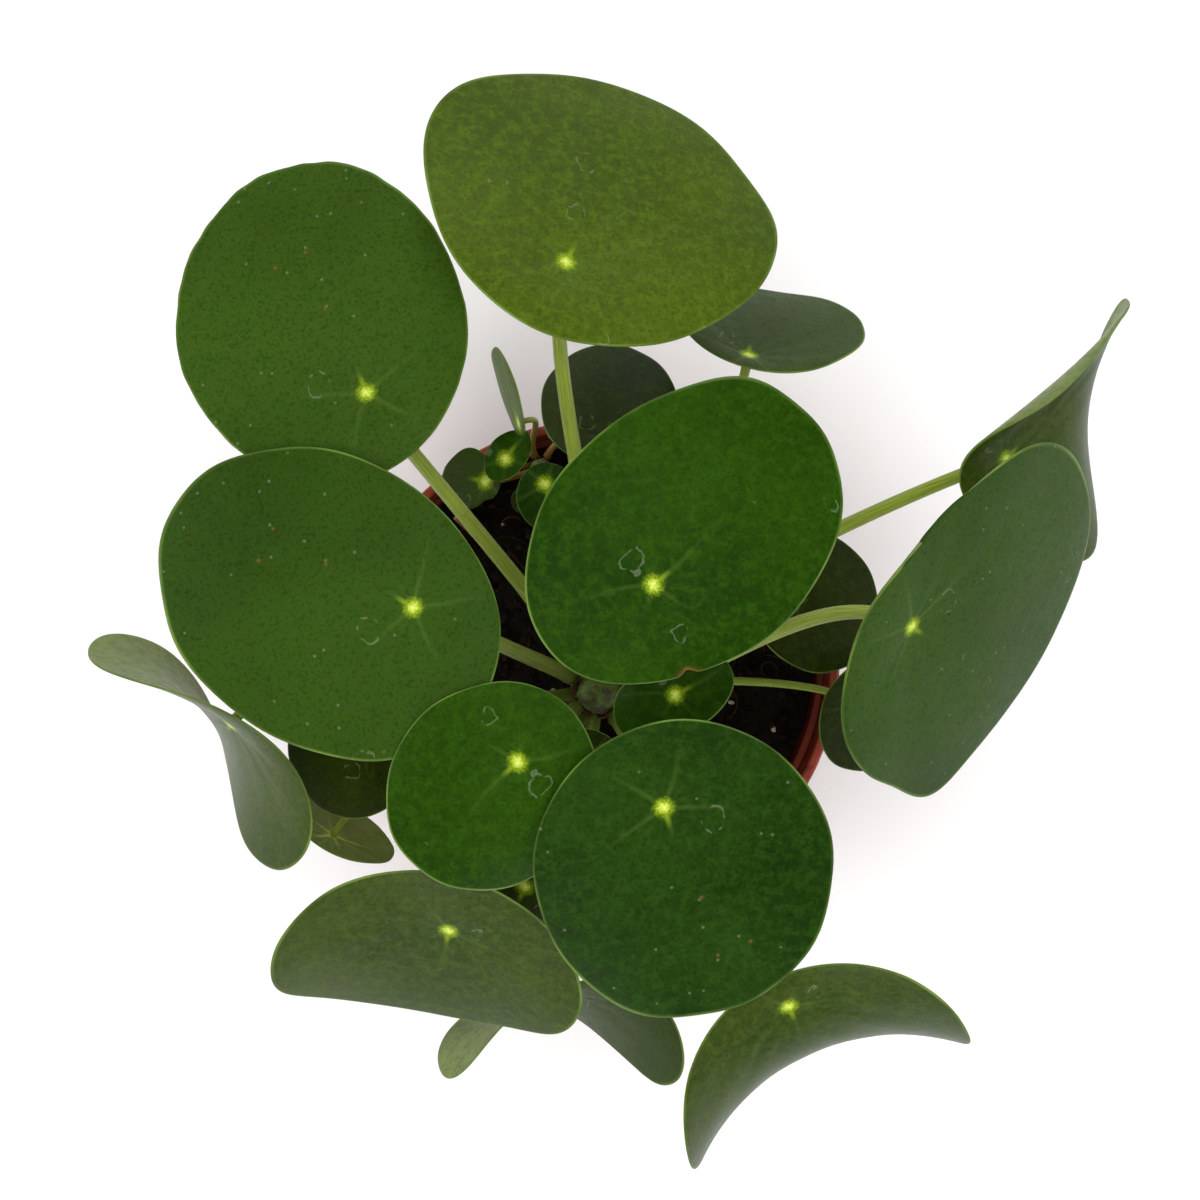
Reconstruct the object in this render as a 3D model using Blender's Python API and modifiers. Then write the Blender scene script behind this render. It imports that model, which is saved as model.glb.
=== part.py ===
"""A pilea with round, shield-shaped leaves in a plastic nursery pot, as a Blender model.

Units are metres and degrees, +Z is up, and the origin is the middle of the pot's flat underside.
Every leaf is a blade and its stalk, grown as one piece. A blade is a disc that is stretched to an egg-shaped
outline about the umbo, the pale point where the stalk joins it, then bent along arcs and turned into place.
"""
import math
from dataclasses import dataclass

import bmesh
import bpy
from mathutils import Vector

# ---------------------------------------------------------------- driving sizes
CLEARANCE = 0.0003             # air between two pieces that would touch

POT_HEIGHT = 0.105
RIM_RADIUS = 0.060             # outside of the collar
BASE_RADIUS = 0.044            # outside of the foot
POT_WALL = 0.0013
POT_FLOOR = 0.0016
COLLAR_HEIGHT = 0.018
COLLAR_STEP = 0.0020           # how far the collar stands out from the wall under it
LIP_WIDTH = 0.0024
FOOT_ROUND = 0.0022
DRAIN_HOLES = 8
DRAIN_RADIUS = 0.0035
DRAIN_RING = 0.030
DRAIN_TURN = 6                 # degrees from +X to the first hole
POT_SIDES = 48

SOIL_DROP = 0.013              # from the rim down to the soil
SOIL_LEVEL = POT_HEIGHT - SOIL_DROP
SOIL_BUMP = 0.0014
SOIL_SIDES = 36
SOIL_RINGS = 5

STEM_PLACE = (0.001, -0.006)
STEM_RADIUS = 0.0058
STEM_HEIGHT = 0.035            # above the soil
STEM_DEPTH = 0.018             # how deep it stands in the soil
PUP_TURN = 106                 # degrees from +X to the pup, which comes up close to the wall
PUP_WALL_GAP = 0.0026
PUP_RADIUS = 0.0026
PUP_HEIGHT = 0.019
PUP_DEPTH = 0.012
JOINT_SPACING = 0.007

BLADE_THICKNESS = 0.0012
BLADE_SIDES = 20
BLADE_RINGS = (0.38, 0.74, 1.0)
DIMPLE = 0.0016                # depth of the hollow at the umbo of a full-grown leaf
STALK_RADIUS = 0.0017
STALK_STEPS = 9
FULL_LENGTH = 0.070            # the length of a blade that has the full dimple and stalk

POT_COLOUR = (0.33, 0.055, 0.03)
SOIL_COLOUR = (0.012, 0.009, 0.006)
STEM_COLOUR = (0.10, 0.16, 0.03)
DRY_COLOUR = (0.30, 0.15, 0.05)


@dataclass
class Leaf:
    """One leaf: where its umbo is, how big its blade is, which way it points and how it bends.

    umbo is measured from where its stem's middle line meets the soil. base is the distance from the umbo to the
    blade's near edge. heading is the way the tip points, seen from above, from +X towards +Y. pitch is how far
    the tip falls and roll how far the left side falls. tip, back, left and right are how far each edge bends down
    past the umbo. twist turns the tip about the midrib, egg widens the tip's half and aside moves the blade's
    middle to the left of the umbo. node is the height of the stalk's foot above the soil, rise how steeply it
    leaves the stem and swing how far left of the umbo it sets out.
    """

    name: str
    umbo: tuple
    length: float
    width: float
    base: float
    heading: float
    pitch: float = 0.0
    roll: float = 0.0
    tip: float = 10.0
    back: float = 5.0
    left: float = 8.0
    right: float = 8.0
    twist: float = 0.0
    egg: float = 0.0
    aside: float = 0.0
    node: float = 0.018
    rise: float = 55.0
    swing: float = 0.0
    colour: tuple = (0.045, 0.095, 0.012)
    stem: str = "main"


DEEP = (0.035, 0.085, 0.012)
BRIGHT = (0.045, 0.115, 0.010)
OLIVE = (0.075, 0.120, 0.020)
GREYED = (0.110, 0.170, 0.070)
SHADED = (0.030, 0.050, 0.012)

# Three leaves keep clear of a neighbour's stalk as the stem or the stalks get thicker: left_low_leaf hangs lower,
# folded_young_leaf moves back and front_right_leaf leaves the stem further below front_leaf.
LEAVES = (
    Leaf("centre_leaf", (0.011, 0.025, 0.133), 0.074, 0.055, 0.025, 40, 5, -4, 14, 6, 12, 12,
         aside=0.0035, node=0.032, rise=80, colour=BRIGHT),
    Leaf("back_leaf", (-0.007, 0.093, 0.108), 0.073, 0.079, 0.018, 64, 26, 0, 22, 4, 8, 8,
         egg=0.10, node=0.027, rise=62, swing=-8, colour=OLIVE),
    Leaf("back_left_leaf", (-0.050, 0.066, 0.098), 0.077, 0.064, 0.018, 112, 10, 0, 14, 4, 10, 10,
         aside=0.004, node=0.024, rise=62, swing=-4, colour=DEEP),
    Leaf("left_leaf", (-0.039, 0.020, 0.113), 0.081, 0.062, 0.023, 149, 8, 0, 12, 6, 12, 10,
         aside=0.009, node=0.029, rise=68, colour=DEEP),
    Leaf("right_leaf", (0.067, 0.016, 0.103), 0.074, 0.085, 0.019, -33, 46, 0, 14, 8, 12, 6,
         aside=0.0105, node=0.027, rise=66, swing=-10, colour=DEEP),
    Leaf("far_right_leaf", (0.0928, 0.0533, 0.0605), 0.071, 0.044, 0.016, 50, 16, -12, 0, 6, -150, 8,
         twist=110, egg=-0.45, aside=-0.0085, node=0.025, rise=70, swing=30, colour=OLIVE),
    Leaf("back_right_small_leaf", (0.034, 0.078, 0.058), 0.043, 0.045, 0.0065, 80, 54, 0, 10, 6, -10, -10,
         aside=-0.004, node=0.015, rise=52, colour=SHADED),
    Leaf("back_small_leaf", (0.003, 0.059, 0.058), 0.042, 0.032, 0.009, 96, 40, 0, 10, 5, 10, 10,
         node=0.019, rise=60, swing=4, colour=SHADED),
    Leaf("right_small_leaf", (0.045, 0.021, 0.0385), 0.038, 0.036, 0.012, 8, 28, 12, 10, 6, 10, 10,
         node=0.017, rise=50, colour=SHADED),
    Leaf("right_low_leaf", (0.061, -0.003, 0.038), 0.032, 0.030, 0.010, -34, 36, 0, 10, 6, 10, 10,
         node=0.012, rise=46, swing=10, colour=SHADED),
    Leaf("front_left_young_leaf", (-0.017, -0.012, 0.120), 0.049, 0.042, 0.016, -137, 10, 0, 14, 6, 12, 12,
         node=0.033, rise=82, colour=BRIGHT),
    Leaf("front_leaf", (0.013, -0.021, 0.126), 0.067, 0.063, 0.018, -72, 12, 0, 14, 6, 10, 10,
         node=0.031, rise=80, colour=DEEP),
    Leaf("front_left_leaf", (-0.033, -0.051, 0.088), 0.052, 0.072, 0.018, -102, 42, 0, 16, 6, -26, -34,
         aside=-0.003, node=0.025, rise=62, colour=GREYED),
    Leaf("front_right_leaf", (0.041, -0.067, 0.093), 0.056, 0.074, 0.009, -66, 30, 0, 90, 6, -40, -42,
         node=0.0298 - 3 * STALK_RADIUS, rise=60, colour=GREYED),
    Leaf("front_low_leaf", (-0.010, -0.072, 0.042), 0.036, 0.069, 0.010, -81, 72, 0, 8, 6, -55, -65,
         twist=50, node=0.016, rise=42, colour=OLIVE),
    Leaf("far_left_leaf", (-0.084, -0.007, 0.068), 0.046, 0.072, 0.010, -128, 72, 0, 8, 6, -22, -30,
         twist=50, aside=-0.002, node=0.022, rise=50, swing=4, colour=GREYED),
    Leaf("left_low_leaf", (-0.054, -0.012, 0.0581 - STALK_RADIUS - STEM_RADIUS), 0.036, 0.034, 0.012, -170, 30, 0, 10, 6, 10, 10,
         node=0.012, rise=48, colour=SHADED),
    Leaf("drooping_leaf", (-0.064, -0.035, 0.030), 0.026, 0.030, 0.008, -120, 108, 0, 10, 6, 10, 10,
         node=0.009, rise=40, colour=OLIVE),
    Leaf("front_hidden_leaf", (-0.017, -0.044, 0.058), 0.032, 0.032, 0.011, -112, 24, 0, 10, 6, 10, 10,
         node=0.019, rise=56, colour=SHADED),
    Leaf("folded_young_leaf", (0.017, STALK_RADIUS - 0.0013, 0.072), 0.029, 0.020, 0.015, 28, -6, 0, 6, 4, -50, -50,
         node=0.0303 + STALK_RADIUS, rise=62, colour=BRIGHT),
    Leaf("front_young_leaf", (-0.003, -0.014, 0.066), 0.020, 0.018, 0.007, -100, 14, 0, 8, 4, 8, 8,
         node=0.034, rise=75, colour=SHADED),
    Leaf("hidden_young_leaf", (0.0105, -0.0060, 0.020), 0.012, 0.012, 0.005, -14, 8, 0, 8, 4, 8, 8,
         node=0.011, rise=45, colour=SHADED),
    Leaf("pup_back_leaf", (-0.0045, 0.0095, 0.041), 0.022, 0.018, 0.003, 112, 10, 76, 6, 4, 8, 8,
         node=0.016, rise=62, colour=OLIVE, stem="pup"),
    Leaf("pup_left_leaf", (-0.0078, 0.0015, 0.034), 0.014, 0.010, 0.006, 54, 8, 14, 8, 4, -20, -20,
         node=0.015, rise=60, colour=BRIGHT, stem="pup"),
    Leaf("pup_lobed_leaf", (-0.0125, -0.0035, 0.028), 0.016, 0.014, 0.004, 170, 22, 0, 8, 4, 8, 8,
         node=0.011, rise=46, colour=SHADED, stem="pup"),
    Leaf("pup_right_leaf", (0.0015, -0.0045, 0.036), 0.017, 0.015, 0.005, -76, 8, 0, 8, 4, 8, 8,
         node=0.018, rise=70, colour=DEEP, stem="pup"),
    Leaf("pup_low_leaf", (-0.0030, -0.0062, 0.020), 0.007, 0.006, 0.002, -120, 14, 0, 6, 4, 8, 8,
         node=0.010, rise=50, colour=SHADED, stem="pup"),
    Leaf("pup_tip_leaf", (0.004, 0.0075, 0.028), 0.007, 0.006, 0.002, 60, 20, 30, 6, 4, -14, -14,
         node=0.017, rise=60, colour=OLIVE, stem="pup"),
)


# ---------------------------------------------------------------- helpers
def clear_scene():
    for thing in list(bpy.data.objects):
        bpy.data.objects.remove(thing, do_unlink=True)


def new_collection(name):
    made = bpy.data.collections.new(name)
    bpy.context.scene.collection.children.link(made)
    return made


def paint(thing, colour, roughness):
    material = bpy.data.materials.new(thing.name)
    material.use_nodes = True
    shader = material.node_tree.nodes["Principled BSDF"]
    shader.inputs["Base Color"].default_value = (*colour, 1.0)
    shader.inputs["Roughness"].default_value = roughness
    shader.inputs["Metallic"].default_value = 0.0
    thing.data.materials.clear()
    thing.data.materials.append(material)


def add_mesh(name, shape, group):
    """Turn a bmesh into an object of the group."""
    mesh = bpy.data.meshes.new(name)
    shape.to_mesh(mesh)
    shape.free()
    thing = bpy.data.objects.new(name, mesh)
    group.objects.link(thing)
    return thing


def turned(name, profile, sides, group):
    """Spin a profile of (radius, height) points about Z, from the top down its outer side."""
    mesh = bpy.data.meshes.new(name)
    edges = [(i, i + 1) for i in range(len(profile) - 1) if profile[i][0] or profile[i + 1][0]]
    mesh.from_pydata([(radius, 0, height) for radius, height in profile], edges, [])
    thing = bpy.data.objects.new(name, mesh)
    group.objects.link(thing)
    screw = thing.modifiers.new("turn", "SCREW")
    screw.steps = sides
    screw.render_steps = sides
    screw.use_merge_vertices = True
    screw.merge_threshold = 0.00005
    return thing


def evaluated_mesh(thing):
    bpy.context.view_layer.update()
    return bpy.data.meshes.new_from_object(thing.evaluated_get(bpy.context.evaluated_depsgraph_get()))


def tube(name, points, radii, sides_step, group):
    """A closed tube along points, whose radius at each point is given, as a mesh with welded caps."""
    curve = bpy.data.curves.new(name, "CURVE")
    curve.dimensions = "3D"
    curve.bevel_depth = 1.0
    curve.bevel_resolution = sides_step
    curve.use_fill_caps = True
    spline = curve.splines.new("POLY")
    spline.points.add(len(points) - 1)
    for place, point, radius in zip(spline.points, points, radii):
        place.co = (*point, 1.0)
        place.radius = radius
    guide = bpy.data.objects.new(name + "_line", curve)
    group.objects.link(guide)
    mesh = evaluated_mesh(guide)
    bpy.data.objects.remove(guide, do_unlink=True)
    shape = bmesh.new()
    shape.from_mesh(mesh)
    bmesh.ops.remove_doubles(shape, verts=shape.verts, dist=0.00001)
    bmesh.ops.recalc_face_normals(shape, faces=shape.faces)
    return add_mesh(name, shape, group)


def combine(thing, other, operation):
    """Join the other object to a thing, or cut it away, and remove the other object."""
    boolean = thing.modifiers.new("join", "BOOLEAN")
    boolean.operation = operation
    boolean.object = other
    boolean.solver = "EXACT"
    mesh = evaluated_mesh(thing)
    thing.modifiers.clear()
    thing.data = mesh
    bpy.data.objects.remove(other, do_unlink=True)


def smooth(thing, angle=40):
    thing.data.shade_smooth()
    thing.data.set_sharp_from_angle(angle=math.radians(angle))


def wall_radius(height):
    """Outside radius of the tapered wall, under the collar, at a height."""
    top = RIM_RADIUS - COLLAR_STEP
    return BASE_RADIUS + (top - BASE_RADIUS) * height / POT_HEIGHT


@dataclass
class Stem:
    """An upright stem: where its middle line meets the soil, how thick and tall it is, how deep it is rooted."""

    place: Vector
    radius: float
    height: float
    depth: float


def stems():
    """The main stem, and the pup's, which stands a small gap inside the pot's wall."""
    turn = math.radians(PUP_TURN)
    out = wall_radius(SOIL_LEVEL) - POT_WALL - PUP_WALL_GAP - PUP_RADIUS
    pup_place = Vector((out * math.cos(turn), out * math.sin(turn), SOIL_LEVEL))
    return {
        "main": Stem(Vector((*STEM_PLACE, SOIL_LEVEL)), STEM_RADIUS, STEM_HEIGHT, STEM_DEPTH),
        "pup": Stem(pup_place, PUP_RADIUS, PUP_HEIGHT, PUP_DEPTH),
    }


# ---------------------------------------------------------------- leaves
def arc(distance, bend):
    """How far along and how far down a strip of unit bend per metre reaches after a distance, and its slope."""
    if abs(bend) < 1e-6:
        return distance, 0.0, 0.0
    angle = bend * distance
    return math.sin(angle) / bend, (1.0 - math.cos(angle)) / bend, angle


def umbo_place(leaf):
    return stems()[leaf.stem].place + Vector(leaf.umbo)


def leaf_axes(leaf):
    """The tip's direction, the left side's direction and the upper face's normal at the umbo."""
    heading, pitch, roll = (math.radians(a) for a in (leaf.heading, leaf.pitch, leaf.roll))
    ahead = Vector((math.cos(heading), math.sin(heading), 0.0))
    left = Vector((-math.sin(heading), math.cos(heading), 0.0))
    up = Vector((0.0, 0.0, 1.0))
    tip = math.cos(pitch) * ahead - math.sin(pitch) * up
    face = math.sin(pitch) * ahead + math.cos(pitch) * up
    side = math.cos(roll) * left - math.sin(roll) * face
    normal = math.sin(roll) * left + math.cos(roll) * face
    return tip, side, normal


def blade_point(leaf, share, turn):
    """A point of the blade's middle surface: share runs from the umbo, 0, to the edge, 1, and turn round it."""
    half = leaf.length / 2
    middle = half - leaf.base
    along = share * (middle + half * math.cos(turn))
    across = share * (leaf.aside + leaf.width / 2 * math.sin(turn) * (1.0 + leaf.egg * math.cos(turn)))
    reach = leaf.length - leaf.base
    ahead_bend = math.radians(leaf.tip) / reach if along > 0 else math.radians(leaf.back) / leaf.base
    x, drop, slope = arc(abs(along), ahead_bend)
    side_bend = math.radians(leaf.left if across > 0 else leaf.right) / (leaf.width / 2)
    y, fall, _ = arc(abs(across), side_bend)
    x = math.copysign(x, along)
    y = math.copysign(y, across)
    slope = math.copysign(slope, slope * along) if along else 0.0
    hollow = DIMPLE * min(1.0, leaf.length / FULL_LENGTH) * (1.0 - share) ** 2
    turned_by = math.radians(leaf.twist) * along / leaf.length
    y, fall = (y * math.cos(turned_by) + fall * math.sin(turned_by),
               fall * math.cos(turned_by) - y * math.sin(turned_by))
    tip, side, normal = leaf_axes(leaf)
    sheet_normal = math.sin(slope) * tip + math.cos(slope) * normal
    return umbo_place(leaf) + x * tip + y * side - drop * normal - (fall + hollow) * sheet_normal


def blade(leaf, group):
    """A disc made by spinning a row of points, laid on the leaf's curved surface and given its thickness."""
    shape = bmesh.new()
    spokes = [shape.verts.new((share, 0.0, 0.0)) for share in (0.0, *BLADE_RINGS)]
    for inner, outer in zip(spokes, spokes[1:]):
        shape.edges.new((inner, outer))
    bmesh.ops.spin(shape, geom=shape.verts[:] + shape.edges[:], cent=(0, 0, 0), axis=(0, 0, 1),
                   dvec=(0, 0, 0), angle=math.tau, steps=BLADE_SIDES, use_merge=True, use_duplicate=False)
    bmesh.ops.remove_doubles(shape, verts=shape.verts, dist=0.0001)
    bmesh.ops.recalc_face_normals(shape, faces=shape.faces)
    if shape.faces[0].normal.z < 0:
        bmesh.ops.reverse_faces(shape, faces=shape.faces)
    for vertex in shape.verts:
        share = vertex.co.length
        turn = math.atan2(vertex.co.y, vertex.co.x)
        vertex.co = blade_point(leaf, share, turn)
    thing = add_mesh(leaf.name, shape, group)
    solid = thing.modifiers.new("thickness", "SOLIDIFY")
    solid.thickness = BLADE_THICKNESS * max(0.6, min(1.0, leaf.length / FULL_LENGTH))
    solid.offset = 0.0
    thing.data = evaluated_mesh(thing)
    thing.modifiers.clear()
    return thing


def stalk_line(leaf):
    """Points from the stem to the umbo: out of the stem at the rise angle, then up to the blade's underside."""
    stem = stems()[leaf.stem]
    _, _, normal = leaf_axes(leaf)
    hollow = DIMPLE * min(1.0, leaf.length / FULL_LENGTH)
    end = umbo_place(leaf) - hollow * normal
    direction = math.atan2(end.y - stem.place.y, end.x - stem.place.x) + math.radians(leaf.swing)
    rise = math.radians(leaf.rise)
    level = Vector((math.cos(direction), math.sin(direction), 0.0))
    out = math.cos(rise) * level + math.sin(rise) * Vector((0.0, 0.0, 1.0))
    thick = stalk_radius(leaf)
    foot = stem.radius + CLEARANCE + thick * math.sin(rise)
    start = stem.place + Vector((0.0, 0.0, leaf.node)) + foot * level
    span = (end - start).length
    first = start + 0.38 * span * out
    second = end - 0.30 * span * normal
    points = []
    for step in range(STALK_STEPS + 1):
        t = step / STALK_STEPS
        points.append((1 - t) ** 3 * start + 3 * t * (1 - t) ** 2 * first
                      + 3 * t * t * (1 - t) * second + t ** 3 * end)
    return points


def stalk_radius(leaf):
    return STALK_RADIUS * max(0.42, min(1.0, (leaf.length / FULL_LENGTH) ** 0.7))


def make_leaf(leaf, group):
    thing = blade(leaf, group)
    points = stalk_line(leaf)
    thick = stalk_radius(leaf)
    radii = [thick * (1.12 - 0.24 * i / STALK_STEPS) for i in range(len(points))]
    stalk = tube(leaf.name + "_stalk", points, radii, 1, group)
    combine(thing, stalk, "UNION")
    paint(thing, leaf.colour, 0.42)
    smooth(thing)


# ---------------------------------------------------------------- pot, soil and stems
def make_pot(group):
    collar_foot = POT_HEIGHT - COLLAR_HEIGHT
    inner_top = RIM_RADIUS - LIP_WIDTH
    round_off = LIP_WIDTH * 0.3
    profile = [
        (inner_top, POT_HEIGHT - round_off),
        (inner_top + round_off, POT_HEIGHT),
        (RIM_RADIUS - round_off, POT_HEIGHT),
        (RIM_RADIUS, POT_HEIGHT - round_off),
        (RIM_RADIUS - 0.0006, collar_foot + round_off),
        (RIM_RADIUS - 0.0006 - round_off, collar_foot),
        (wall_radius(collar_foot - 0.001), collar_foot - 0.001),
        (wall_radius(FOOT_ROUND), FOOT_ROUND),
        (wall_radius(0.0) - FOOT_ROUND * 0.3, FOOT_ROUND * 0.3),
        (wall_radius(0.0) - FOOT_ROUND, 0.0),
        (0.0, 0.0),
        (0.0, POT_FLOOR),
        (wall_radius(POT_FLOOR) - POT_WALL - FOOT_ROUND, POT_FLOOR),
        (wall_radius(POT_FLOOR + FOOT_ROUND) - POT_WALL, POT_FLOOR + FOOT_ROUND),
        (wall_radius(collar_foot - 0.001) - POT_WALL, collar_foot - 0.001),
        (inner_top, POT_HEIGHT - round_off),
    ]
    pot = turned("pot", profile, POT_SIDES, group)
    pot.data = evaluated_mesh(pot)
    pot.modifiers.clear()
    shape = bmesh.new()
    shape.from_mesh(pot.data)
    bmesh.ops.remove_doubles(shape, verts=shape.verts, dist=0.00001)
    bmesh.ops.recalc_face_normals(shape, faces=shape.faces)
    shape.to_mesh(pot.data)
    shape.free()
    for hole in range(DRAIN_HOLES):
        angle = math.radians(DRAIN_TURN) + math.tau * hole / DRAIN_HOLES
        bpy.ops.mesh.primitive_cylinder_add(
            vertices=12, radius=DRAIN_RADIUS, depth=POT_FLOOR * 4,
            location=(DRAIN_RING * math.cos(angle), DRAIN_RING * math.sin(angle), 0.0))
        combine(pot, bpy.context.object, "DIFFERENCE")
    paint(pot, POT_COLOUR, 0.45)
    smooth(pot, 30)


def soil_height(x, y):
    """The soil's uneven top: three low crossing waves about the soil level."""
    return SOIL_LEVEL + SOIL_BUMP * (
        0.5 * math.sin(210 * x + 0.6) * math.cos(170 * y)
        + 0.3 * math.sin(390 * x - 260 * y + 1.1)
        + 0.2 * math.cos(330 * x + 450 * y)
    )


def make_soil(group):
    """A turned body that follows the inside of the pot, with an uneven top and a pocket round each stem."""
    bottom = POT_FLOOR + CLEARANCE
    top_edge = wall_radius(SOIL_LEVEL) - POT_WALL - 2 * CLEARANCE
    rings = [top_edge * (i + 1) / SOIL_RINGS for i in range(SOIL_RINGS)]
    profile = [(0.0, SOIL_LEVEL)] + [(r, SOIL_LEVEL) for r in rings]
    profile += [
        (wall_radius(POT_FLOOR + FOOT_ROUND) - POT_WALL - 2 * CLEARANCE, bottom + FOOT_ROUND),
        (wall_radius(POT_FLOOR) - POT_WALL - FOOT_ROUND - 2 * CLEARANCE, bottom),
        (0.0, bottom),
    ]
    soil = turned("soil", profile, SOIL_SIDES, group)
    soil.data = evaluated_mesh(soil)
    soil.modifiers.clear()
    shape = bmesh.new()
    shape.from_mesh(soil.data)
    bmesh.ops.remove_doubles(shape, verts=shape.verts, dist=0.00001)
    bmesh.ops.recalc_face_normals(shape, faces=shape.faces)
    for vertex in shape.verts:
        if vertex.co.z > SOIL_LEVEL - 0.0001:
            vertex.co.z = soil_height(vertex.co.x, vertex.co.y)
    shape.to_mesh(soil.data)
    shape.free()
    for stem in stems().values():
        floor = SOIL_LEVEL - stem.depth - CLEARANCE
        bpy.ops.mesh.primitive_cylinder_add(
            vertices=16, radius=stem.radius + 2 * CLEARANCE, depth=2 * stem.depth,
            location=(stem.place.x, stem.place.y, floor + stem.depth))
        combine(soil, bpy.context.object, "DIFFERENCE")
    paint(soil, SOIL_COLOUR, 0.95)
    smooth(soil, 50)


def make_stem(name, kind, group):
    """A turned stem with a swelling at each old leaf joint and a rounded growing tip."""
    stem = stems()[kind]
    radius = stem.radius
    foot = -stem.depth
    tip_foot = stem.height - radius
    profile = [(0.0, stem.height), (radius * 0.45, stem.height - radius * 0.12),
               (radius * 0.78, stem.height - radius * 0.55)]
    joints = max(2, round(stem.height / JOINT_SPACING))
    for joint in range(joints):
        profile.append((radius, tip_foot * (1 - joint / joints)))
        profile.append((radius * 0.90, tip_foot * (1 - (joint + 0.55) / joints)))
    profile += [(radius, 0.0), (radius * 0.85, foot), (0.0, foot)]
    thing = turned(name, profile, 16, group)
    thing.location = stem.place
    paint(thing, STEM_COLOUR, 0.6)
    smooth(thing, 50)


def make_dry_stalk(group):
    """A leaf stalk that has lost its blade, dried to a point at its far end."""
    dry = Leaf("dry_leaf_stalk", (-0.035, 0.042, 0.036), 0.05, 0.05, 0.02, 140, 60, 0,
               node=0.015, rise=38)
    points = stalk_line(dry)
    radii = [0.0013 * (1.1 - 0.6 * i / STALK_STEPS) for i in range(len(points))]
    stalk = tube(dry.name, points, radii, 1, group)
    paint(stalk, DRY_COLOUR, 0.7)
    smooth(stalk)


def main():
    clear_scene()
    group = new_collection("potted_pilea")
    make_pot(group)
    make_soil(group)
    make_stem("main_stem", "main", group)
    make_stem("pup_stem", "pup", group)
    make_dry_stalk(group)
    for leaf in LEAVES:
        make_leaf(leaf, group)


main()
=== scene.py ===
"""Finished look of a potted pilea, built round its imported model.

Lengths are metres and +Z is up. The origin is the middle of the pot's flat underside. Each leaf blade is one
closed skin, a function of a point's distance from the umbo, the pale spot over the stalk, and of its turn.
"""
import math
from collections import namedtuple

import bmesh
import bpy
import numpy as np
from bpy.props import FloatProperty, FloatVectorProperty, IntProperty, PointerProperty
from bpy.types import Operator, Panel, PropertyGroup
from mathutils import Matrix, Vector


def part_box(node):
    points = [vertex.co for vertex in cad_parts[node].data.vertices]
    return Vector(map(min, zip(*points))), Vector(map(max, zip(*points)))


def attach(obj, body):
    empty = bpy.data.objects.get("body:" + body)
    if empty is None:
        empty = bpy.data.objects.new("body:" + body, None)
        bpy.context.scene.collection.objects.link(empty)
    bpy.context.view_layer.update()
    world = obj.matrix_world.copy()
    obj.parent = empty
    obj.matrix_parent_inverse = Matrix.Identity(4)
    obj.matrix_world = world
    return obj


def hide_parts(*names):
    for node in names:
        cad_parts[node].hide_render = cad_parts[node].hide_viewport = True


bl_info = {
    "name": "Potted Pilea",
    "version": (1, 0, 0),
    "blender": (4, 5, 0),
    "location": "3D View > Sidebar > Pilea",
    "description": "Builds a round-leaved pilea, its soil and its plastic pot",
    "category": "Object",
}

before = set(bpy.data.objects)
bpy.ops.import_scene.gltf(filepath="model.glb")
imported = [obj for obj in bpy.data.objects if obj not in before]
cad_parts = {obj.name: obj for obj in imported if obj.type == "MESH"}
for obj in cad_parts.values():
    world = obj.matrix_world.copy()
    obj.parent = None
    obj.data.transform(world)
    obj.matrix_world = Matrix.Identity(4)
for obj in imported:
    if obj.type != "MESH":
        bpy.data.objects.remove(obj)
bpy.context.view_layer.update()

# ---------------------------------------------------------------- sizes shared with the solid model
CLEARANCE = 0.0003
POT_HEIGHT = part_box("pot")[1].z
RIM_RADIUS = 0.060
BASE_RADIUS = 0.044
POT_WALL = 0.0013
POT_FLOOR = 0.0016
COLLAR_HEIGHT = 0.018
COLLAR_STEP = 0.0020
LIP_WIDTH = 0.0024
FOOT_ROUND = 0.0022
DRAIN_HOLES = 8
DRAIN_RADIUS = 0.0035
DRAIN_RING = 0.030
DRAIN_TURN = 6
SOIL_LEVEL = POT_HEIGHT - 0.013
SOIL_BUMP = 0.0014
DIMPLE = 0.0016
FULL_LENGTH = 0.070
STALK_RADIUS = 0.0017
BLADE_THICKNESS = 0.0012
DRAIN_BAND = 0.008             # half the width of the floor's ring that holds the drain holes
PUP_INSIDE = 0.0065            # how far the pup's middle stands inside the outside of the wall
DRY_RADIUS = 0.0013            # the dried stalk
STALK_SETS_OUT = 0.38          # share of its span that a stalk's first direction carries it
STALK_COMES_IN = 0.30          # the same for its last direction
THINNEST_STALK = 0.42          # share of the full radius that the smallest leaf's stalk keeps
THINNEST_BLADE = 0.6           # the same for a blade's thickness

# ---------------------------------------------------------------- sizes of the finer shapes
NARROW_NICK = 5                # degrees: a dent narrower than this has a scorched edge
CRIMPED_LEAF = "back_left_leaf"    # the leaf whose edge has fine waves on top of the slow ones
COLLAR_DRAFT = 0.0006          # how much the collar narrows from its top to its bottom
CORNER = 0.0008                # roundings at both sides of the collar's foot
FILLET = 0.0006                # hollow rounding where the collar's foot meets the wall
BUTTON_HEIGHT = 0.00035        # small swelling in the middle of the umbo
BUTTON_WIDTH = 0.0011
EDGE_THINNING = 0.35           # share of its thickness that a blade loses towards its edge
STALK_STEPS, STALK_SIDES = 40, 20
DRY_STEPS, DRY_SIDES = 44, 20
SPIRAL = 2.4                   # radians round the stem from one leaf joint or scale to the next
FLOOR_RADIUS = 4.0
FLOOR_DROP = 0.0004            # the floor lies this far under the pot, so that the two faces never meet
LAMPS_AIM = (0, 0, 0.12)       # just over the pot's rim
CAMERA_OVER = (0.001, 0.0157)  # the point of the floor under the lens

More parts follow.
